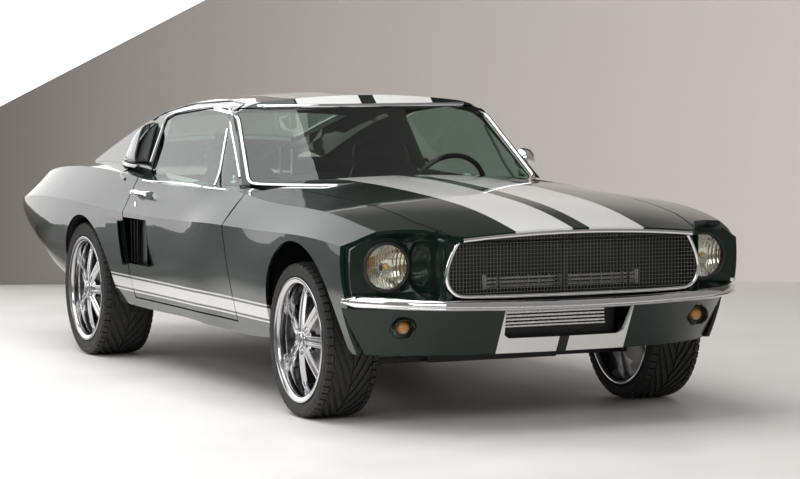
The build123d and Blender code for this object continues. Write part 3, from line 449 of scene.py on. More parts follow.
def rod(mesh, radius, low, high, sides=24, matrix=Matrix.Identity(4)):
    """A cylinder along Z between two heights."""
    move = matrix @ Matrix.Translation((0, 0, (low + high) / 2))
    return bmesh.ops.create_cone(mesh, cap_ends=True, segments=sides, radius1=radius, radius2=radius,
                                 depth=high - low, matrix=move)["verts"]


def wheel_shape(half):
    """Rim, spokes and hub; the axle is Z and the outer side is +Z."""
    mesh = turned([(0.2435, half - 0.013), (0.2545, half - 0.011), (LIP_RADIUS, half - 0.006),
                   (LIP_RADIUS, half - 0.002), (0.256, half), (0.25, half - 0.0005), (0.247, half - 0.003),
                   (0.236, half - 0.006), (0.233, half - 0.011), (0.2325, half - 0.04),
                   (0.2345, half - 0.044), (0.23, half - 0.062), (0.229, half - 0.1), (0.224, -half + 0.03),
                   (0.235, -half + 0.008), (0.25, -half), (LIP_RADIUS, -half), (LIP_RADIUS, -half + 0.008),
                   (0.2435, -half + 0.013)])
    across = [-1, -0.86, -0.46, -0.22, 0.22, 0.46, 0.86, 1]
    fall = [-0.007, 0.0, 0.0005, -0.009, -0.009, 0.0005, 0.0, -0.007]
    inner, outer = 0.03, 0.234
    face = []
    for vert, along, sideways in grid(mesh, 10, 7):
        face.append(vert)
        column = round(sideways * 7)
        radius = inner + (outer - inner) * along
        width = 0.0215 + 0.006 * along + 0.012 * max(0.0, along - 0.86) / 0.14
        ridge = half - 0.02 - 0.04 * along ** 1.5 - 0.01 * max(0.0, along - 0.8) / 0.2
        groove = fall[column] * (1 if along < 0.93 else 0.4)
        vert.co = Vector((radius, across[column] * width, ridge + groove))
    backs = raised(mesh, face)
    for vert in backs:
        along = (vert.co.x - inner) / (outer - inner)
        vert.co.z = half - 0.052 - 0.04 * along
        vert.co.y *= 0.8
    repeated(mesh, face + backs, SPOKES)
    turned([(0.0, half - 0.06), (0.066, half - 0.06), (0.068, half - 0.036), (0.06, half - 0.026),
            (0.04, half - 0.0235), (0.036, half - 0.02), (0.0355, half - 0.01), (0.031, half - 0.0065),
            (0.02, half - 0.0055), (0.0, half - 0.005)], 48, mesh, closed=False)
    return mesh


def hub_details(half):
    """Wheel nuts, and the cap's dark slots."""
    nuts = bmesh.new()
    for turn in range(5):
        angle = 2 * pi * (turn + 0.25) / 5
        spot = Matrix.Rotation(angle, 4, "Z") @ Matrix.Translation((0.0525, 0, 0))
        rod(nuts, 0.0095, half - 0.034, half - 0.0155, 6, spot)
        rod(nuts, 0.0062, half - 0.0155, half - 0.013, 12, spot)
    slots = bmesh.new()
    for turn in range(6):
        spot = Matrix.Rotation(2 * pi * turn / 6, 4, "Z") @ Matrix.Translation((0.0245, 0, half - 0.0062))
        block(slots, spot, (0.01, 0.0045, 0.0022))
    return nuts, slots


def brake_disc():
    disc = turned([(0.078, -0.0125), (0.165, -0.0125), (0.165, -0.0195), (0.158, -0.0205), (0.158, -0.0235),
                   (0.165, -0.0245), (0.165, -0.0315), (0.078, -0.0315)], 72)
    turned([(0.021, 0.004), (0.078, 0.004), (0.08, -0.004), (0.08, -0.032), (0.021, -0.032)], 48, disc)
    return disc


def drill_marks():
    holes = bmesh.new()
    for turn in range(36):
        radius = (0.098, 0.122, 0.146)[turn % 3]
        spot = Matrix.Rotation(2 * pi * turn / 36, 4, "Z") @ Matrix.Translation((radius, 0, 0))
        rod(holes, 0.0035, -0.013, -0.0122, 10, spot)
    return holes


# ---- Tyres ----
# Low road tyres: a ribbed sidewall, and a directional tread of curved blocks that are raised from
# the carcass, with square blocks along each shoulder.
PITCHES = 28
TREAD_DEPTH = 0.008
rubber = Finish("tyre_rubber", {"Base Color": (0.02, 0.0195, 0.019, 1)},
                rough=(28.0, 0.25, 0.52), grain=(420.0, 0.0004, 0.5))


def tyre_shape(radius, half):
    wall = [(0.244, half - 0.014), (0.259, half - 0.0125), (0.26, half - 0.0085), (0.266, half - 0.005),
            (0.269, half - 0.001), (0.272, half - 0.0012), (0.2735, half - 0.0028), (0.286, half - 0.0002),
            (0.289, half - 0.0002), (0.29, half - 0.0016), (radius - 0.026, half - 0.0014),
            (radius - 0.024, half - 0.0006), (radius - 0.022, half - 0.0016),
            (radius - 0.014, half - 0.006), (radius - 0.0105, half - 0.014),
            (radius - TREAD_DEPTH - 0.001, half - 0.03)]
    mesh = turned(wall + [(r, -h) for r, h in reversed(wall)], 108)
    shoulder = half - 0.03

    def blocks(start, stop, sweep, length, steps, count, shift, side):
        """One raised block, repeated round the tyre."""
        feet = [vert for vert, *_ in grid(mesh, steps, 1)]
        tops = raised(mesh, feet)
        for group, drop in ((tops, 0.0006), (feet, TREAD_DEPTH + 0.003)):
            for vert in group:
                out, back = (vert.co.x + 1) / 2, (vert.co.y + 1) / 2
                across = start + (stop - start) * out
                trail = -sweep * out + length * back * (1 - 0.35 * out * (steps > 2))
                crown = radius - drop - 0.0105 * (across / half) ** 9
                angle = (trail + shift) / radius
                vert.co = Vector((crown * cos(angle), crown * sin(angle), side * across))
        repeated(mesh, feet + tops, count)

    pitch = 2 * pi * radius / PITCHES
    for side in (1, -1):
        shift = 0.0 if side > 0 else pitch / 2
        blocks(0.0035, shoulder - 0.005, 0.175, pitch * 0.66, 9, PITCHES, shift, side)
        blocks(shoulder, half - 0.005, 0.0, pitch * 0.39, 2, PITCHES * 2, 0.0, side)
    return mesh


for end, x, y, radius, half in (("front", 1.5, 0.748, 0.32, 0.1175), ("rear", -1.243, 0.745, 0.33, 0.13)):
    for side, sign in SIDES:
        hub = Matrix.Translation((x, sign * y, radius)) @ FLIP[sign] @ TO_SIDE
        body = f"wheel_{end}_{side}"
        rim = finished(f"rim_{end}_{side}", wheel_shape(half - 0.001), alloy, body, 30,
                       0.0012, hub)
        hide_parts(body)
        nuts, slots = hub_details(half - 0.001)
        finished(f"wheel_nuts_{end}_{side}", nuts, alloy, body, 30, 0.0006, hub)
        finished(f"cap_slots_{end}_{side}", slots, dark_slot, body, 30, 0.0, hub)
        finished(f"brake_disc_{end}_{side}", brake_disc(), disc_steel, body, 30, 0.0, hub)
        finished(f"disc_holes_{end}_{side}", drill_marks(), dark_slot, body, 30, 0.0, hub)
        tyre = finished(f"tread_tyre_{end}_{side}", tyre_shape(radius, half), rubber, body, move=hub)
        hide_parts(f"tyre_{end}_{side}")

# ---- Lamps ----
# Round headlamps: a dark bezel ring, a bright bowl, an amber bulb in a guard and a ribbed domed lens.
# Small, nearly round turn lamps sit in painted cups in the front apron; three upright red lamps stand
# on each side of the tail.
HEADLAMP = Vector((2.074, 0.717, 0.653))
TURN_LAMP = Vector((2.118, 0.664, 0.413))
TO_FRONT = Matrix.Rotation(pi / 2, 4, "Y")         # a shape turned round Z comes to lie round +X

ring_black = Finish("ring_black", {"Base Color": (0.012, 0.012, 0.013, 1), "Roughness": 0.4,
                                   "Coat Weight": 0.15},
                    grain=(500.0, 0.0002, 0.2))
mirror_bowl = Finish("mirror_bowl", {"Base Color": (0.82, 0.82, 0.8, 1), "Metallic": 1.0},
                     rough=(60.0, 0.12, 0.06))
mirror_bowl.bump(mirror_bowl.wave("Y", 26.0), 0.002, 0.6)
lamp_lens = clear_pane("lamp_lens", (0.95, 0.95, 0.92, 1), 0.02)
amber_lens = Finish("amber_lens", {"Base Color": (0.75, 0.22, 0.02, 1), "Roughness": 0.08,
                                   "Coat Weight": 1.0})
x, y, z = amber_lens.axes()
amber_lens.feed("Base Color", amber_lens.mix(z > 0.398, (0.72, 0.62, 0.45, 1), (0.62, 0.27, 0.06, 1)))
amber_lens.bump(amber_lens.wave("Z", 60.0), 0.001, 0.5)
bulb_glass = Finish("bulb_glass", {"Base Color": (0.85, 0.5, 0.12, 1), "Roughness": 0.1, "Coat Weight": 1.0})
red_lens = Finish("red_lens", {"Base Color": (0.3, 0.006, 0.006, 1), "Roughness": 0.12, "Coat Weight": 1.0})
red_lens.bump(red_lens.cells(140.0, "CHEBYCHEV"), 0.001, 0.6)
dress(red_lens, "tail_lamps")

for side, sign in SIDES:
    spot = Matrix.Translation((HEADLAMP.x, sign * HEADLAMP.y, HEADLAMP.z)) @ TO_FRONT
    bezel = turned([(0.0865, -0.004), (0.0885, 0.002), (0.0925, 0.006), (0.0985, 0.006), (0.1035, 0.002),
                    (0.106, -0.006), (0.106, -0.011), (0.0865, -0.011)])
    finished(f"headlamp_ring_{side}", bezel, ring_black, "body", move=spot)
    bowl = turned([(0.0, -0.05), (0.022, -0.049), (0.05, -0.04), (0.072, -0.024), (0.0865, -0.006),
                   (0.0885, -0.006), (0.074, -0.027), (0.051, -0.043), (0.022, -0.052), (0.0, -0.053)], 64,
                   closed=False)
    finished(f"headlamp_bowl_{side}", bowl, mirror_bowl, "body", move=spot)
    bulb = turned([(0.0, 0.0), (0.008, -0.003), (0.0125, -0.012), (0.0125, -0.04), (0.0, -0.044)], 24,
                  closed=False)
    finished(f"headlamp_bulb_{side}", bulb, bulb_glass, "body", move=spot)
    guard = turned([(0.016, -0.012), (0.03, -0.01), (0.031, -0.013), (0.017, -0.016)], 32)
    for turn in range(3):
        leg = Matrix.Rotation(2 * pi * turn / 3 + 0.5, 4, "Z") @ Matrix.Translation((0.045, 0, -0.014))
        block(guard, leg, (0.034, 0.004, 0.003))
    finished(f"headlamp_guard_{side}", guard, chrome, "body", move=spot)
    lens = turned([(0.0, 0.013), (0.03, 0.0118), (0.058, 0.0082), (0.078, 0.0032), (0.0865, -0.0015),
                   (0.0865, -0.0045), (0.077, 0.0005), (0.058, 0.0052), (0.03, 0.0088), (0.0, 0.01)], 64,
                   closed=False)
    for step in range(-5, 6):
        across = step * 0.0145
        reach = sqrt(0.083 ** 2 - across ** 2)
        block(lens, Matrix.Translation((0, across, 0.0065 - 1.6 * across ** 2)),
              (reach * 1.7, 0.0016, 0.0016))
    lens = finished(f"headlamp_lens_{side}", lens, lamp_lens, "body", move=spot)
    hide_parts("headlamps")
    oval = Matrix.Diagonal((0.86, 1, 1, 1))
    spot = Matrix.Translation((TURN_LAMP.x, sign * TURN_LAMP.y, TURN_LAMP.z)) @ TO_FRONT @ oval
    cup = turned([(0.0285, -0.012), (0.04, 0.0085), (0.043, 0.0115), (0.046, 0.01), (0.048, 0.004),
                  (0.048, -0.016), (0.0285, -0.016)], 48)
    cup = finished(f"turn_lamp_ring_{side}", cup, plain_paint, "body", move=spot)
    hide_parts("turn_lamps")
    dome = turned([(0.0, 0.0), (0.01, -0.0008), (0.02, -0.004), (0.0275, -0.0105), (0.0285, -0.013),
                   (0.0, -0.014)], 48, closed=False)
    finished(f"turn_lamp_lens_{side}", dome, amber_lens, "body", move=spot)
    collar = turned([(0.0282, -0.0118), (0.03, -0.008), (0.0316, -0.0076), (0.0322, -0.0058),
                     (0.0282, -0.0122)], 48)
    finished(f"turn_lamp_collar_{side}", collar, ring_black, "body", move=spot)

# ---- Bright trim ----
# Pressed bright strips round the glass, along the hood's lip and round the grille, clipped to the
# body and bent along its surface. The roof's gutters are beads of the same kind in body paint.


def surface(*names):
    """Tests rays against CAD nodes."""
    graph = bpy.context.evaluated_depsgraph_get()
    trees = [BVHTree.FromObject(NODES[name], graph) for name in names]

    def hit(point, direction):
        found = [tree.ray_cast(Vector(point), Vector(direction)) for tree in trees]
        found = [one for one in found if one[0] is not None]
        if not found:
            return None
        return min(found, key=lambda one: one[3])[0]
    return hit


def strip(name, points, radius, finish, body, closed=False):
    """A bead of round section along a path."""
    curve = bpy.data.curves.new(name, "CURVE")
    curve.dimensions = "3D"
    spline = curve.splines.new("NURBS")
    spline.points.add(len(points) - 1)
    for spot, point in zip(spline.points, points):
        spot.co = (*point, 1)
    spline.use_cyclic_u = closed
    spline.order_u = 3
    spline.use_endpoint_u = not closed
    spline.resolution_u = 6
    curve.bevel_depth = radius
    curve.bevel_resolution = 3
    curve.use_fill_caps = True
    holder = bpy.data.objects.new(name, curve)
    bpy.context.scene.collection.objects.link(holder)
    data = bpy.data.meshes.new_from_object(holder.evaluated_get(bpy.context.evaluated_depsgraph_get()))
    bpy.data.objects.remove(holder)
    mesh = bmesh.new()
    mesh.from_mesh(data)
    return finished(name, mesh, finish, body, 50)


def divided(corners, gap=0.05):
    """More points along straight runs."""
    path = []
    for start, end in zip(corners, corners[1:]):
        start, end = Vector(start), Vector(end)
        count = max(1, round((end - start).length / gap))
        path += [start.lerp(end, step / count) for step in range(count)]
    return path + [Vector(corners[-1])]


def laid(points, hit, direction, away, lift=0.0):
    """Points carried along a direction onto the surface."""
    path = []
    for point in points:
        landed = hit(Vector(point) - Vector(direction) * away, direction)
        if landed is not None:
            path.append(landed - Vector(direction) * lift)
    return path


def side_strip(name, points, gap, wall, lift, radius, finish, body):
    """A strip through (x, z) points on the left side, or its mirror image where the name says right."""
    path = laid(divided([(x, 0, z) for x, z in points], gap), wall, (0, -1, 0), 2.0, lift)
    sign = dict(SIDES)[name.rsplit("_", 1)[1]]
    strip(name, [Vector((p.x, sign * p.y, p.z)) for p in path], radius, finish, body)


glass_side = surface("roof_shell", "windshield", "cowl")
half = [(0.0, 0.926), (0.25, 0.923), (0.45, 0.919), (0.6, 0.914), (0.68, 0.912), (0.703, 0.925),
        (0.695, 0.955), (0.618, 1.215), (0.604, 1.238), (0.58, 1.249), (0.4, 1.251), (0.2, 1.251),
        (0.0, 1.251)]
ring = [(0, y, z) for y, z in half] + [(0, -y, z) for y, z in reversed(half[1:-1])]
path = laid(divided(ring + ring[:1], 0.06)[:-1], glass_side, (-1, 0, 0), 3.0)
strip("windshield_trim", path, 0.0105, chrome, "body", closed=True)

side_wall = surface("roof_shell", "door_glass_left", "door_left")
door_side = surface("door_left", "door_glass_left")
WINDOW = [(0.56, 0.912), (0.33, 1.075), (0.105, 1.228), (0.06, 1.243), (-0.12, 1.25), (-0.36, 1.232),
          (-0.563, 1.211), (-0.675, 1.19), (-0.703, 1.165), (-0.712, 1.02), (-0.716, 0.925)]
BELT = [(0.545, 0.893), (0.0, 0.893), (-0.66, 0.893)]
DIVIDER = [(0.276, 0.9), (0.168, 1.15)]
GUTTER = [(0.64, 0.91), (0.4, 1.07), (0.115, 1.262), (-0.1, 1.272), (-0.45, 1.255), (-0.75, 1.212),
          (-0.9, 1.17)]
for side, _ in SIDES:
    door = f"door_{side}"
    side_strip(f"window_trim_{side}", WINDOW, 0.06, side_wall, 0.0, 0.006, chrome, "body")
    side_strip(f"belt_trim_{side}", BELT, 0.08, door_side, 0.001, 0.0065, chrome, door)
    side_strip(f"vent_divider_{side}", DIVIDER, 0.06, door_side, 0.003, 0.0065, chrome, door)
    side_strip(f"gutter_{side}", GUTTER, 0.06, side_wall, 0.003, 0.0042, plain_paint, "body")

lip_face = surface("hood")
lip = [lip_face((3, y / 100, 0.792 - 0.0000105 * y * y), (-1, 0, 0)) for y in range(-51, 52, 3)]
lip = [Vector((2.346 - 0.052 * p.y * p.y, p.y, 0.7885 - 0.088 * p.y * p.y)) for p in lip if p]
strip("hood_lip_trim", lip, 0.0085, chrome, "hood")

half = [(0.512, 0.757), (0.527, 0.735), (0.546, 0.695), (0.56, 0.655), (0.563, 0.625), (0.556, 0.59),
        (0.54, 0.565), (0.515, 0.549), (0.49, 0.544), (0.3, 0.541), (0.0, 0.54)]
rim = half + [(-y, z) for y, z in reversed(half[:-1])]
rim = [(2.292 + 0.012 * (1 - (y / 0.56) ** 2), y, z) for y, z in rim]
strip("grille_trim", divided(rim, 0.08), 0.008, chrome, "body")

rear_top = surface("roof_shell", "rear_window")
half = [(-0.982, 0.0), (-0.985, 0.4), (-1.0, 0.445), (-1.04, 0.458), (-1.56, 0.428), (-1.595, 0.415),
        (-1.604, 0.38), (-1.606, 0.0)]
ring = [(x, y, 1.0) for x, y in half] + [(x, -y, 1.0) for x, y in reversed(half[1:-1])]
path = laid(divided([*ring, ring[0]], 0.07)[:-1], rear_top, (0, 0, -1), 2.0)
strip("rear_window_trim", path, 0.009, chrome, "body", closed=True)

for side, sign in SIDES:
    latch = bmesh.new()
    for low, high in (((0.385, 0.715, 0.915), (0.445, 0.722, 0.928)),
                      ((0.405, 0.705, 0.922), (0.42, 0.718, 0.95))):
        slab(latch, low, high)
    finished(f"vent_latch_{side}", latch, chrome, f"door_{side}", 40, 0.003, FLIP[sign])

# ---- Door furniture ----
# A chrome pull handle on two posts with a push button, and a lock below it, on each door. They
# stand on the door's own surface.
door_wall = surface("door_left")
for side, sign in SIDES:
    handle = bmesh.new()
    place = door_wall((-0.39, 2.0, 0.838), (0, -1, 0))
    block(handle, FLIP[sign] @ Matrix.Translation((-0.39, place.y + 0.03, 0.842)), (0.205, 0.01, 0.018))
    for x in (-0.48, -0.305):
        block(handle, FLIP[sign] @ Matrix.Translation((x, place.y + 0.012, 0.84)), (0.03, 0.046, 0.024))
    rod(handle, 0.0095, 0.018, 0.043, 20, FLIP[sign] @ Matrix.Translation((-0.48, place.y, 0.84)) @ TO_SIDE)
    finished(f"door_handle_{side}", handle, chrome, f"door_{side}", 40, 0.003)
    lock = bmesh.new()
    spot = door_wall((-0.445, 2.0, 0.785), (0, -1, 0))
    rod(lock, 0.0125, -0.006, 0.006, 24, FLIP[sign] @ Matrix.Translation(spot) @ TO_SIDE)
    finished(f"door_lock_{side}", lock, chrome, f"door_{side}", 40, 0.002)

# ---- Bumper blades ----
# One-piece chrome blades with a rounded face and a pressed crease along the lower edge. The front
# one dips in the middle, and both taper at the tips.


def arc(first, middle, last, count):
    """Points on the circle through three points of a plan."""
    (x1, y1), (x2, y2), (x3, y3) = first, middle, last
    turn = 2 * (x1 * (y2 - y3) + x2 * (y3 - y1) + x3 * (y1 - y2))
    s1, s2, s3 = x1 * x1 + y1 * y1, x2 * x2 + y2 * y2, x3 * x3 + y3 * y3
    centre = Vector(((s1 * (y2 - y3) + s2 * (y3 - y1) + s3 * (y1 - y2)) / turn,
                     (s1 * (x3 - x2) + s2 * (x1 - x3) + s3 * (x2 - x1)) / turn))
    start, end = Vector(first) - centre, Vector(last) - centre
    swing = end.angle_signed(start)
    return [centre + Matrix.Rotation(swing * step / count, 2) @ start for step in range(count + 1)]


def grown(mesh, ring, edges):
    """Extrudes a ring in place; gives the new ring, in the same order, and its edges."""
    geometry = bmesh.ops.extrude_edge_only(mesh, edges=edges)["geom"]
    fresh = {vert.co.copy().freeze(): vert for vert in vertices(geometry)}
    ring = [fresh[vert.co.copy().freeze()] for vert in ring]
    return ring, [g for g in geometry if isinstance(g, bmesh.types.BMEdge) and set(g.verts) <= set(ring)]


def swept(section, path, height, shrink):
    """Carries a closed section of (out, up) points along a plan path at a height."""
    mesh = bmesh.new()
    ring = []
    for step, spot in enumerate(path):
        ahead = path[min(step + 1, len(path) - 1)] - path[max(step - 1, 0)]
        out = Vector((ahead.y, -ahead.x)).normalized()
        size = shrink(step / (len(path) - 1))
        places = [Vector((spot.x + out.x * o, spot.y + out.y * o, height + up * size)) for o, up in section]
        if ring:
            ring, edges = grown(mesh, ring, edges)
            for vert, place in zip(ring, places):
                vert.co = place
        else:
            ring = [mesh.verts.new(place) for place in places]
            first = edges = [mesh.edges.new(pair) for pair in zip(ring, ring[1:] + ring[:1])]
    bmesh.ops.edgeloop_fill(mesh, edges=first)
    bmesh.ops.edgeloop_fill(mesh, edges=edges)
    return mesh


BLADE = [(-0.032, 0.024), (-0.026, 0.0285), (-0.018, 0.028), (-0.01, 0.0215), (-0.0045, 0.012),
         (-0.0015, 0.002), (-0.0012, -0.003), (-0.0045, -0.005), (-0.005, -0.0068), (-0.0016, -0.01),
         (0.0, -0.0155), (-0.003, -0.0215), (-0.01, -0.026), (-0.021, -0.028), (-0.03, -0.027),
         (-0.032, -0.024)]
for name, middle, edge, corner, tip, height, dip, outward in (
        ("front_bumper", 2.355, (2.328, 0.5), (2.238, 0.745), (2.004, 0.886), 0.522, 0.02, -1),
        ("rear_bumper", -2.355, (-2.34, 0.56), (-2.32, 0.72), (-2.288, 0.8), 0.6, 0.0, 1)):
    quarter_turn = arc(edge, corner, tip, 14)
    straight = arc((edge[0], -edge[1]), (middle, 0), edge, 24)
    line = [Vector((p.x, -p.y)) for p in reversed(quarter_turn)] + straight[1:-1] + quarter_turn

    def depth_of(share):
        """The blade's height: less in the middle where it dips, and tapered at the tips."""
        taper = min(1.0, 0.45 + 14.0 * min(share, 1 - share))
        return (0.98 - 0.8 * dip / 0.06 * (1 - (2 * share - 1) ** 4)) * taper

    blade = swept([(-outward * o, up) for o, up in BLADE], line, height, depth_of)
    for vert in blade.verts:
        vert.co.z -= dip * (1 - min(1.0, abs(vert.co.y) / 0.8) ** 2)
    blade = finished(f"{name}_blade", blade, chrome, "body")
    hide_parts(name)

# ---- Headlamp buckets ----
# Painted pressings that sink from the fender's edge and the grille's side to the lamp ring. Rays
# against the fender and the hood find their outer edge.
NOSE_PLAN = [(0.545, 2.29), (0.565, 2.262), (0.612, 2.176), (0.7, 2.122), (0.78, 2.1), (0.85, 2.052),
             (0.915, 1.985)]


def nose_x(y):
    for (y0, x0), (y1, x1) in zip(NOSE_PLAN, NOSE_PLAN[1:]):
        if y <= y1:
            return x0 + (x1 - x0) * max(0.0, y - y0) / (y1 - y0)
    return NOSE_PLAN[-1][1]


around = surface("fender_left", "hood")
RING_BACK, RINGS, LAMP_HOLE = 2.066, 9, 0.1035
for side, sign in SIDES:
    bucket = bmesh.new()
    loop = bmesh.ops.create_circle(bucket, segments=72, radius=LAMP_HOLE)["verts"]
    rays = []
    for vert in loop:
        toward = Vector((0, vert.co.x, vert.co.y)).normalized()
        reach = 0.15
        for _ in range(4):
            start = Vector((nose_x(HEADLAMP.y + toward.y * reach) - 0.012, HEADLAMP.y, HEADLAMP.z))
            found = around(start, toward)
            reach = min(0.24, (found - start).length if found else 0.24)
            if toward.y < 0:
                reach = min(reach, (HEADLAMP.y - 0.566) / -toward.y)
            if toward.z < 0:
                reach = min(reach, (HEADLAMP.z - 0.514) / -toward.z)
        rays.append((toward, reach))
    ring, edges = loop, bucket.edges[:]
    for step in range(1, RINGS + 1):
        ring, edges = grown(bucket, ring, edges)
        share = step / RINGS
        for vert, (toward, reach) in zip(ring, rays):
            radius = LAMP_HOLE + (reach - LAMP_HOLE) * share
            rim_x = nose_x(HEADLAMP.y + toward.y * reach) - 0.006
            x = RING_BACK + (rim_x - RING_BACK) * share ** 1.7
            vert.co = Vector((x, HEADLAMP.y + toward.y * radius, HEADLAMP.z + toward.z * radius))
    for vert, (toward, _) in zip(loop, rays):
        vert.co = Vector((RING_BACK, HEADLAMP.y + toward.y * LAMP_HOLE, HEADLAMP.z + toward.z * LAMP_HOLE))
    bucket = finished(f"headlamp_bucket_{side}", bucket, plain_paint, "body", move=FLIP[sign])
    thickened(bucket, 0.0015, 0)

# ---- Pillar scoops ----
# A smooth painted blister on each roof pillar, open in front over a black duct, with a rib in its
# mouth, a lip under it and a dark bead that runs on to the quarter; the bead stands for a gap and the
# shadow along it, partly a dark joint and partly painted shadow.
gloss_black = Finish("gloss_black", {"Base Color": (0.008, 0.009, 0.009, 1), "Roughness": 0.18,
                                     "Coat Weight": 0.8},
                     grain=(300.0, 0.0002, 0.2))
TAIL_LINE = [(-1.03, 0.948), (-0.97, 0.944), (-0.9, 0.93), (-0.84, 0.912), (-0.79, 0.897), (-0.745, 0.89)]


def pillar_y(x, z):
    """Half width of the cabin's side."""
    back = min(1.0, max(0.0, (-0.6 - x) / 1.7))
    up = (z - 0.85) / 0.5
    return (0.76 - 0.12 * back) * (1 - up) + (0.578 - 0.12 * back) * up


for side, sign in SIDES:
    blister = bmesh.new()
    mouth = bmesh.new()
    for mesh, inner in ((blister, False), (mouth, True)):
        for vert, along, up in grid(mesh, 16, 14):
            front_x = -0.79 - 0.07 * up
            x = front_x + (-1.19 + 0.08 * up - front_x) * along
            top = 1.16 - 0.08 * along - 0.085 * along ** 3
            z = 0.962 + (top - 0.962) * up
            swell = (1 - abs(2 * up - 1) ** 6) ** 0.5
            height = 0.004 + 0.06 * swell * (1 - along ** 2.6)
            if inner:
                x = front_x - 0.004 + 0.055 * (1 - along)
                height = 0.003 + (0.053 * swell) * along ** 0.5
            vert.co = Vector((x, pillar_y(x, z) + height, z))
    lip = bmesh.new()
    for vert, along, up in grid(lip, 18, 2):
        x, z = -0.72 - 0.48 * along, 0.946 + 0.018 * up
        vert.co = Vector((x, pillar_y(x, z) + 0.004 + 0.06 * (1 - along ** 2.2) * (1 - up * 0.2), z))
    rib = bmesh.new()
    for vert, along, up in grid(rib, 2, 10):
        x, z = -0.8 - 0.07 * up, 0.97 + 0.18 * up
        vert.co = Vector((x, pillar_y(x, z) + 0.018 + 0.008 * along, z))
    for name, mesh, finish, slot, thickness in (
            ("scoop", blister, plain_paint, "body_paint", 0.004),
            ("duct", mouth, black_satin, "black_paint", 0.002),
            ("lip", lip, plain_paint, "body_paint", 0.006), ("rib", rib, plain_paint, "body_paint", 0.004)):
        part = finished(f"pillar_{name}_{side}", mesh, finish, "body", 50, 0.0, FLIP[sign])
        thickened(part, thickness)
        if name == "scoop":
            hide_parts("pillar_scoops")
    # The dark bead is partly a dark joint and partly painted shadow along the gap.
    side_strip(f"pillar_tail_{side}", TAIL_LINE, 1, surface("roof_shell", "quarter_left"), -0.002, 0.0085,
               gloss_black, "body")

# ---- Side scoops ----
# Upright dark vanes in the recess at the rear of each door, in front of the painted scoop, over a
# dark liner that follows the recess; the liner is partly the scoop's dark mouth and partly painted
# shade in the recess.
for side, sign in SIDES:
    vanes = bmesh.new()
    for x, low, high in ((-0.545, 0.512, 0.706), (-0.5, 0.51, 0.708), (-0.455, 0.508, 0.71)):
        place = Matrix.Translation((x, 0.864, (low + high) / 2)) @ Matrix.Rotation(0.5, 4, "Z")
        block(vanes, place, (0.03, 0.005, high - low))
    finished(f"scoop_vanes_{side}", vanes, gloss_black, f"door_{side}", 40, 0.002,
             FLIP[sign])
    # The dark liner is partly the scoop's dark mouth and partly painted shade in the recess.
    liner = bmesh.new()
    for vert, along, up in grid(liner, 12, 8):
        x = -0.572 + 0.318 * along
        vert.co = Vector((x, 0.8455 + (x + 0.58) * 0.056 + max(0.0, x + 0.312) * 0.5, 0.5015 + 0.217 * up))
    liner = finished(f"recess_mouth_and_shade_{side}", liner, black_satin, f"door_{side}",
                     move=FLIP[sign])
    thickened(liner, 0.0015)

# ---- Door mirror ----
# A chrome bullet-shaped head on a short stalk, on the driver's door only, which carries it when it
# opens.
MIRROR = Vector((0.218, 0.843, 0.988))
head = turned([(0.0, 0.034), (0.018, 0.031), (0.034, 0.022), (0.046, 0.006), (0.051, -0.01), (0.052, -0.02),
               (0.049, -0.022), (0.047, -0.018), (0.0, -0.018)], 48, closed=False)
head = finished("mirror_head", head, chrome, "door_left",
                move=Matrix.Translation(MIRROR) @ TO_FRONT)
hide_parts("door_mirror")
stalk = bmesh.new()
lean = Matrix.Rotation(0.42, 4, "X") @ Matrix.Diagonal((1.6, 1, 1, 1))
rod(stalk, 0.009, -0.1, 0.0, 20, Matrix.Translation(MIRROR) @ lean)
finished("mirror_stalk", stalk, chrome, "door_left", 40, 0.002)

# ---- Grille and cooling ----
# A fine wire mesh fills the throat between painted cheeks, with dark posts and a ribbed cooler
# behind it; polished fins stand in the lower opening.
wire = Finish("grille_wire", {"Base Color": (0.15, 0.15, 0.145, 1), "Metallic": 0.3, "Roughness": 0.4},
              grain=(700.0, 0.0002, 0.3))
fin_metal = Finish("fin_metal", {"Base Color": (0.8, 0.8, 0.79, 1), "Metallic": 1.0},
                   rough=(120.0, 0.2, 0.18))
THROAT = [(0.0, 0.546), (0.498, 0.548), (0.53, 0.562), (0.553, 0.592), (0.558, 0.64), (0.542, 0.695),
          (0.512, 0.75)]
WIRE_PITCH = 0.0148


def read_off(pairs, value):
    """Straight-line reading of a table of pairs."""
    for (a, fa), (b, fb) in zip(pairs, pairs[1:]):
        if value <= b:
            return fa + (fb - fa) * (value - a) / (b - a)
    return pairs[-1][1]


wires = bmesh.new()
floor_line = THROAT[:5]
side_line = THROAT[:3:-1]
edge_line = [(z, y) for y, z in THROAT[1:]]
for step in range(-37, 38):
    y = step * WIRE_PITCH
    bottom = read_off(floor_line, abs(y)) if abs(y) < 0.5575 else 0.64
    top = min(0.777 - 0.084 * y * y, read_off(side_line, abs(y)) if abs(y) > 0.512 else 1)
    slab(wires, (2.2868, y - 0.001, bottom), (2.2888, y + 0.001, top))
for step in range(15):
    z = 0.556 + step * WIRE_PITCH
    reach = read_off(edge_line, z) if z < 0.75 else min(0.505, sqrt((0.777 - z) / 0.084))
    slab(wires, (2.2882, -reach, z - 0.0009), (2.2902, reach, z + 0.0009))
wires = finished("grille_wires", wires, wire, "body")
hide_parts("grille")

backing = bmesh.new()
slab(backing, (2.2, -0.012, 0.548), (2.215, 0.012, 0.74))
for sign in (1, -1):
    inner, outer = sorted((sign * 0.333, sign * 0.6))
    slab(backing, (2.07, inner, 0.5), (2.074, outer, 0.765))
    inner, outer = sorted((sign * 0.288, sign * 0.296))
    slab(backing, (2.196, inner, 0.548), (2.205, outer, 0.74))
finished("grille_braces", backing, black_satin, "body", 40, 0.002)

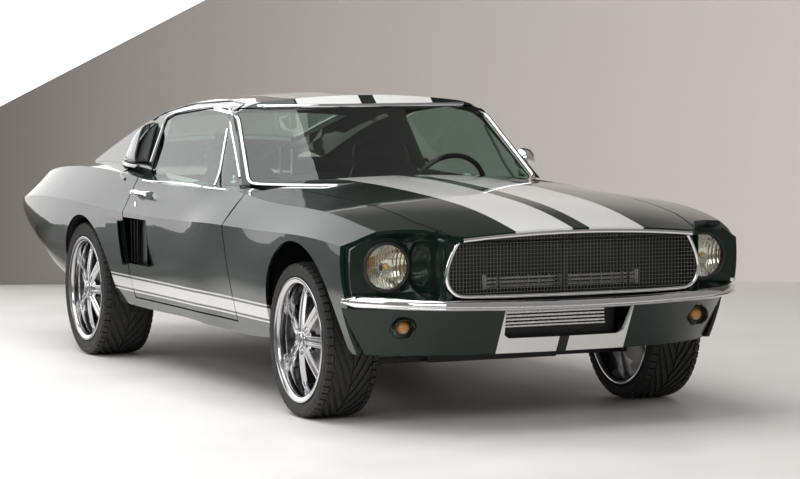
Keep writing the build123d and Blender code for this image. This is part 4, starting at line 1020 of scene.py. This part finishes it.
cooler = bmesh.new()
for step in range(3):
    z = 0.564 + step * 0.0165
    slab(cooler, (2.16, -0.335, z), (2.172, 0.335, z + 0.0075))
for step in range(15):
    y = -0.33 + step * 0.0471
    slab(cooler, (2.158, y - 0.0012, 0.56), (2.168, y + 0.0012, 0.61))
for sign in (1, -1):
    slab(cooler, (2.15, min(sign * 0.335, sign * 0.352), 0.558),
         (2.178, max(sign * 0.335, sign * 0.352), 0.616))
cooler_metal = Finish("cooler_metal", {"Base Color": (0.5, 0.5, 0.49, 1), "Metallic": 1.0},
                      rough=(120.0, 0.2, 0.25))
finished("upper_cooler", cooler, cooler_metal, "body", 40, 0.001)

fins = bmesh.new()
for step in range(6):
    z = 0.412 + step * 0.0142
    slab(fins, (2.1375, -0.235, z), (2.144, 0.215, z + 0.0085))
slab(fins, (2.1375, -0.238, 0.4), (2.144, 0.218, 0.4075))
finished("lower_fins", fins, fin_metal, "body", 40, 0.001)

CHEEK = [(0.506, 0.772), (0.516, 0.757), (0.531, 0.735), (0.55, 0.695), (0.562, 0.655), (0.564, 0.625),
         (0.558, 0.59), (0.545, 0.565), (0.53, 0.545), (0.53, 0.515)]
for side, sign in SIDES:
    cheek = bmesh.new()
    rows = []
    for inner, z in CHEEK:
        section = ((2.25, inner - 0.012), (2.284, inner + 0.002), (2.276, max(inner + 0.006, 0.572)),
                   (2.24, 0.584))
        rows.append([cheek.verts.new((x, sign * y, z)) for x, y in section])
    for upper, lower in zip(rows, rows[1:]):
        for k in range(3):
            cheek.faces.new((upper[k], upper[k + 1], lower[k + 1], lower[k]))
    cheek = finished(f"grille_cheek_{side}", cheek, plain_paint, "body", 60)
    thickened(cheek, 0.0015)

# ---- Cabin ----
# High-backed bucket seats and a rear bench in pleated black vinyl, a dark rimmed steering wheel
# with three drilled bright spokes, round gauges and a dark head lining.
vinyl = Finish("seat_vinyl", {"Base Color": (0.016, 0.016, 0.016, 1), "Sheen Weight": 0.1},
               rough=(40.0, 0.18, 0.38))
vinyl.bump(vinyl.cells(420.0), 0.0004, 0.5)
dress(vinyl, "front_seats", "rear_seat")
PANEL_WIDTH, PANEL_LENGTH = 0.72, 0.8            # the pleated middle's share of a pad


def cushion(name, width, length, thick, place, tilt, narrow=0.0, pleats=6, replacing=None):
    """A crowned pad with pleats along it; its sides pull in between the corners."""
    pad = bmesh.new()
    bmesh.ops.create_cube(pad, size=2)
    bmesh.ops.subdivide_edges(pad, edges=pad.edges[:], cuts=17, use_grid_fill=True)
    for vert in pad.verts:
        u, v, w = vert.co
        round_off = (1 - 0.12 * abs(u * w) ** 3) * (1 - 0.1 * abs(u * v) ** 4)
        pull = 1 - 0.035 * (1 - w * w) * abs(u) ** 6
        crown = (1 - 0.45 * abs(u) ** 5) * (1 - 0.45 * abs(w) ** 5)
        inside = max(0.0, 1 - abs(u) / PANEL_WIDTH) ** 0.3 * max(0.0, 1 - abs(w) / PANEL_LENGTH) ** 0.3
        bolster = 0.22 * (abs(u) > PANEL_WIDTH) * (1 - abs(w) ** 4)
        pleat = abs(cos(u / PANEL_WIDTH * pi * pleats / 2)) ** 0.5
        depth = v * crown + (v > 0) * (bolster - inside * 0.1 * (1 - pleat) - 0.06 * inside)
        sideways = u * width / 2 * round_off * pull * (1 - narrow * max(0.0, w) ** 2)
        vert.co = Vector((sideways, depth * thick / 2, w * length / 2 * round_off))
    move = Matrix.Translation(place) @ Matrix.Rotation(tilt, 4, "Y") @ Matrix.Rotation(-pi / 2, 4, "Z")
    pad = finished(name, pad, vinyl, "body", 60, 0.0, move)
    soft = pad.modifiers.new("soft", "SUBSURF")
    soft.levels = soft.render_levels = 1
    if replacing:
        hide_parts(replacing)


for side, sign in SIDES:
    y = sign * 0.378
    cushion(f"seat_cushion_{side}", 0.44, 0.4, 0.13, (-0.025, y, 0.478), radians(84), 0.05,
            replacing="front_seats")
    cushion(f"seat_back_{side}", 0.44, 0.5, 0.1, (-0.335, y, 0.74), radians(-18), 0.22)
    cushion(f"head_rest_{side}", 0.3, 0.16, 0.085, (-0.44, y, 0.99), radians(-14), 0.18, pleats=2)
    cushion(f"bench_cushion_{side}", 0.5, 0.36, 0.12, (-0.79, sign * 0.3, 0.545), radians(84), 0.0,
            replacing="rear_seat")
    cushion(f"bench_back_{side}", 0.5, 0.3, 0.085, (-0.955, sign * 0.3, 0.705), radians(-22), 0.05)
base = bmesh.new()
for sign in (1, -1):
    slab(base, (-0.3, sign * 0.378 - 0.19, 0.332), (0.13, sign * 0.378 + 0.19, 0.415))
finished("seat_bases", base, black_satin, "body", 40, 0.006)

lining = Finish("lining", {"Base Color": (0.014, 0.014, 0.014, 1), "Roughness": 0.85},
                grain=(260.0, 0.0006, 0.6))
under_roof = surface("roof_shell")
liner = bmesh.new()
rows = []
for i in range(34):
    row = []
    for j in range(25):
        spot = under_roof((0.235 - 0.053 * i, -0.612 + 0.051 * j, 1.0), (0, 0, 1))
        row.append(liner.verts.new(spot - Vector((0, 0, 0.005))) if spot and spot.z > 1.08 else None)
    rows.append(row)
for row, following in zip(rows, rows[1:]):
    for j in range(24):
        four = (row[j], row[j + 1], following[j + 1], following[j])
        if all(four) and max(v.co.z for v in four) - min(v.co.z for v in four) < 0.06:
            liner.faces.new(four)
bmesh.ops.delete(liner, geom=[v for v in liner.verts if not v.link_faces], context="VERTS")
liner = finished("head_liner", liner, lining, "body", 60)
thickened(liner, 0.002)

HELM = Matrix.Translation((0.35, 0.37, 0.845)) @ Matrix.Rotation(radians(110), 4, "Y")
rim_wood = Finish("rim_wood", {"Base Color": (0.018, 0.015, 0.013, 1), "Coat Weight": 0.6},
                  rough=(80.0, 0.2, 0.25))
hoop = turned([(0.185 + 0.0125 * cos(t * pi / 8), 0.0125 * sin(t * pi / 8)) for t in range(16)], 96)
hoop = finished("helm_rim", hoop, rim_wood, "body", move=HELM)
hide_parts("steering_wheel")
spokes = bmesh.new()
for turn in (0, pi / 2, -pi / 2):
    for low, high in ((0.03, 0.075), (0.082, 0.12), (0.127, 0.178)):
        move = Matrix.Rotation(turn, 4, "Z") @ Matrix.Translation(((low + high) / 2, 0, 0))
        block(spokes, move, (high - low + 0.004, 0.024, 0.003))
    for edge in (-0.011, 0.011):
        move = Matrix.Rotation(turn, 4, "Z") @ Matrix.Translation((0.103, edge, 0))
        block(spokes, move, (0.15, 0.005, 0.003))
turned([(0.0, -0.018), (0.026, -0.016), (0.034, -0.004), (0.034, 0.016), (0.02, 0.07), (0.0, 0.07)], 32,
       spokes, closed=False)
finished("helm_spokes", spokes, chrome, "body", 40, 0.001, HELM)

gauges = bmesh.new()
faces = bmesh.new()
TO_REAR = Matrix.Rotation(-pi / 2, 4, "Y")
for y, radius in ((0.455, 0.052), (0.29, 0.052), (0.372, 0.026), (0.2, 0.028), (0.545, 0.026)):
    spot = Matrix.Translation((0.4285, y, 0.817)) @ TO_REAR
    earlier = set(gauges.verts)
    turned([(radius - 0.006, 0.0), (radius - 0.004, 0.006), (radius, 0.006), (radius + 0.002, 0.0)], 40,
           gauges)
    bmesh.ops.transform(gauges, matrix=spot, verts=[v for v in gauges.verts if v not in earlier])
    rod(faces, radius - 0.005, 0.0, 0.0015, 40, spot)
finished("gauge_rings", gauges, chrome, "body")
dial = Finish("dial_face", {"Base Color": (0.015, 0.015, 0.016, 1), "Roughness": 0.35})
ticks = dial.wave("Y", 70.0) > 0.985
dial.feed("Base Color", dial.mix(ticks, (0.012, 0.012, 0.013, 1), (0.5, 0.5, 0.48, 1)))
finished("gauge_faces", faces, dial, "body")

# ---- Rear details ----
# Bright bezels round the six upright lamps, a blank plate on its four screws, a plain fuel cap
# and rolled exhaust tips.
for side, sign in SIDES:
    bezels = bmesh.new()
    for y in (0.56, 0.65, 0.74):
        for low, high in (((y - 0.0335, 0.642), (y - 0.0285, 0.768)),
                          ((y + 0.0285, 0.642), (y + 0.0335, 0.768)),
                          ((y - 0.0335, 0.642), (y + 0.0335, 0.648)),
                          ((y - 0.0335, 0.762), (y + 0.0335, 0.768))):
            slab(bezels, (-2.3415, low[0], low[1]), (-2.3375, high[0], high[1]))
    finished(f"tail_bezels_{side}", bezels, chrome, "body", 40, 0.0012, FLIP[sign])
    tip = turned([(0.0265, -0.004), (0.0295, -0.006), (0.0315, -0.003), (0.0315, 0.075), (0.0282, 0.075),
                  (0.0282, 0.004), (0.0265, 0.002)], 40)
    finished(f"exhaust_tip_{side}", tip, chrome, "body", 40, 0.0,
             Matrix.Translation((-2.227, sign * 0.3, 0.252)) @ TO_FRONT)
plate_paint = Finish("plate_paint", {"Base Color": (0.62, 0.62, 0.6, 1)}, rough=(30.0, 0.2, 0.35))
plate = bmesh.new()
slab(plate, (-2.269, -0.1525, 0.439), (-2.2672, 0.1525, 0.591))
finished("number_plate", plate, plate_paint, "body", 40, 0.0006)
screws = bmesh.new()
for y in (-0.0889, 0.0889):
    for z in (0.4547, 0.5753):
        rod(screws, 0.0058, 0.0, 0.0032, 12, Matrix.Translation((-2.269, y, z)) @ TO_REAR)
finished("plate_screws", screws, chrome, "body", 40, 0.0004)
cap = turned([(0.0, -0.022), (0.03, -0.021), (0.044, -0.016), (0.052, -0.008), (0.055, 0.0), (0.0, 0.0)],
             48, closed=False)
tail_face = surface("tail_panel", "tail_lamps")((-3.0, 0, 0.705), (1, 0, 0))
finished("fuel_cap", cap, chrome, "body", 30, 0.0, Matrix.Translation(tail_face) @ TO_FRONT)
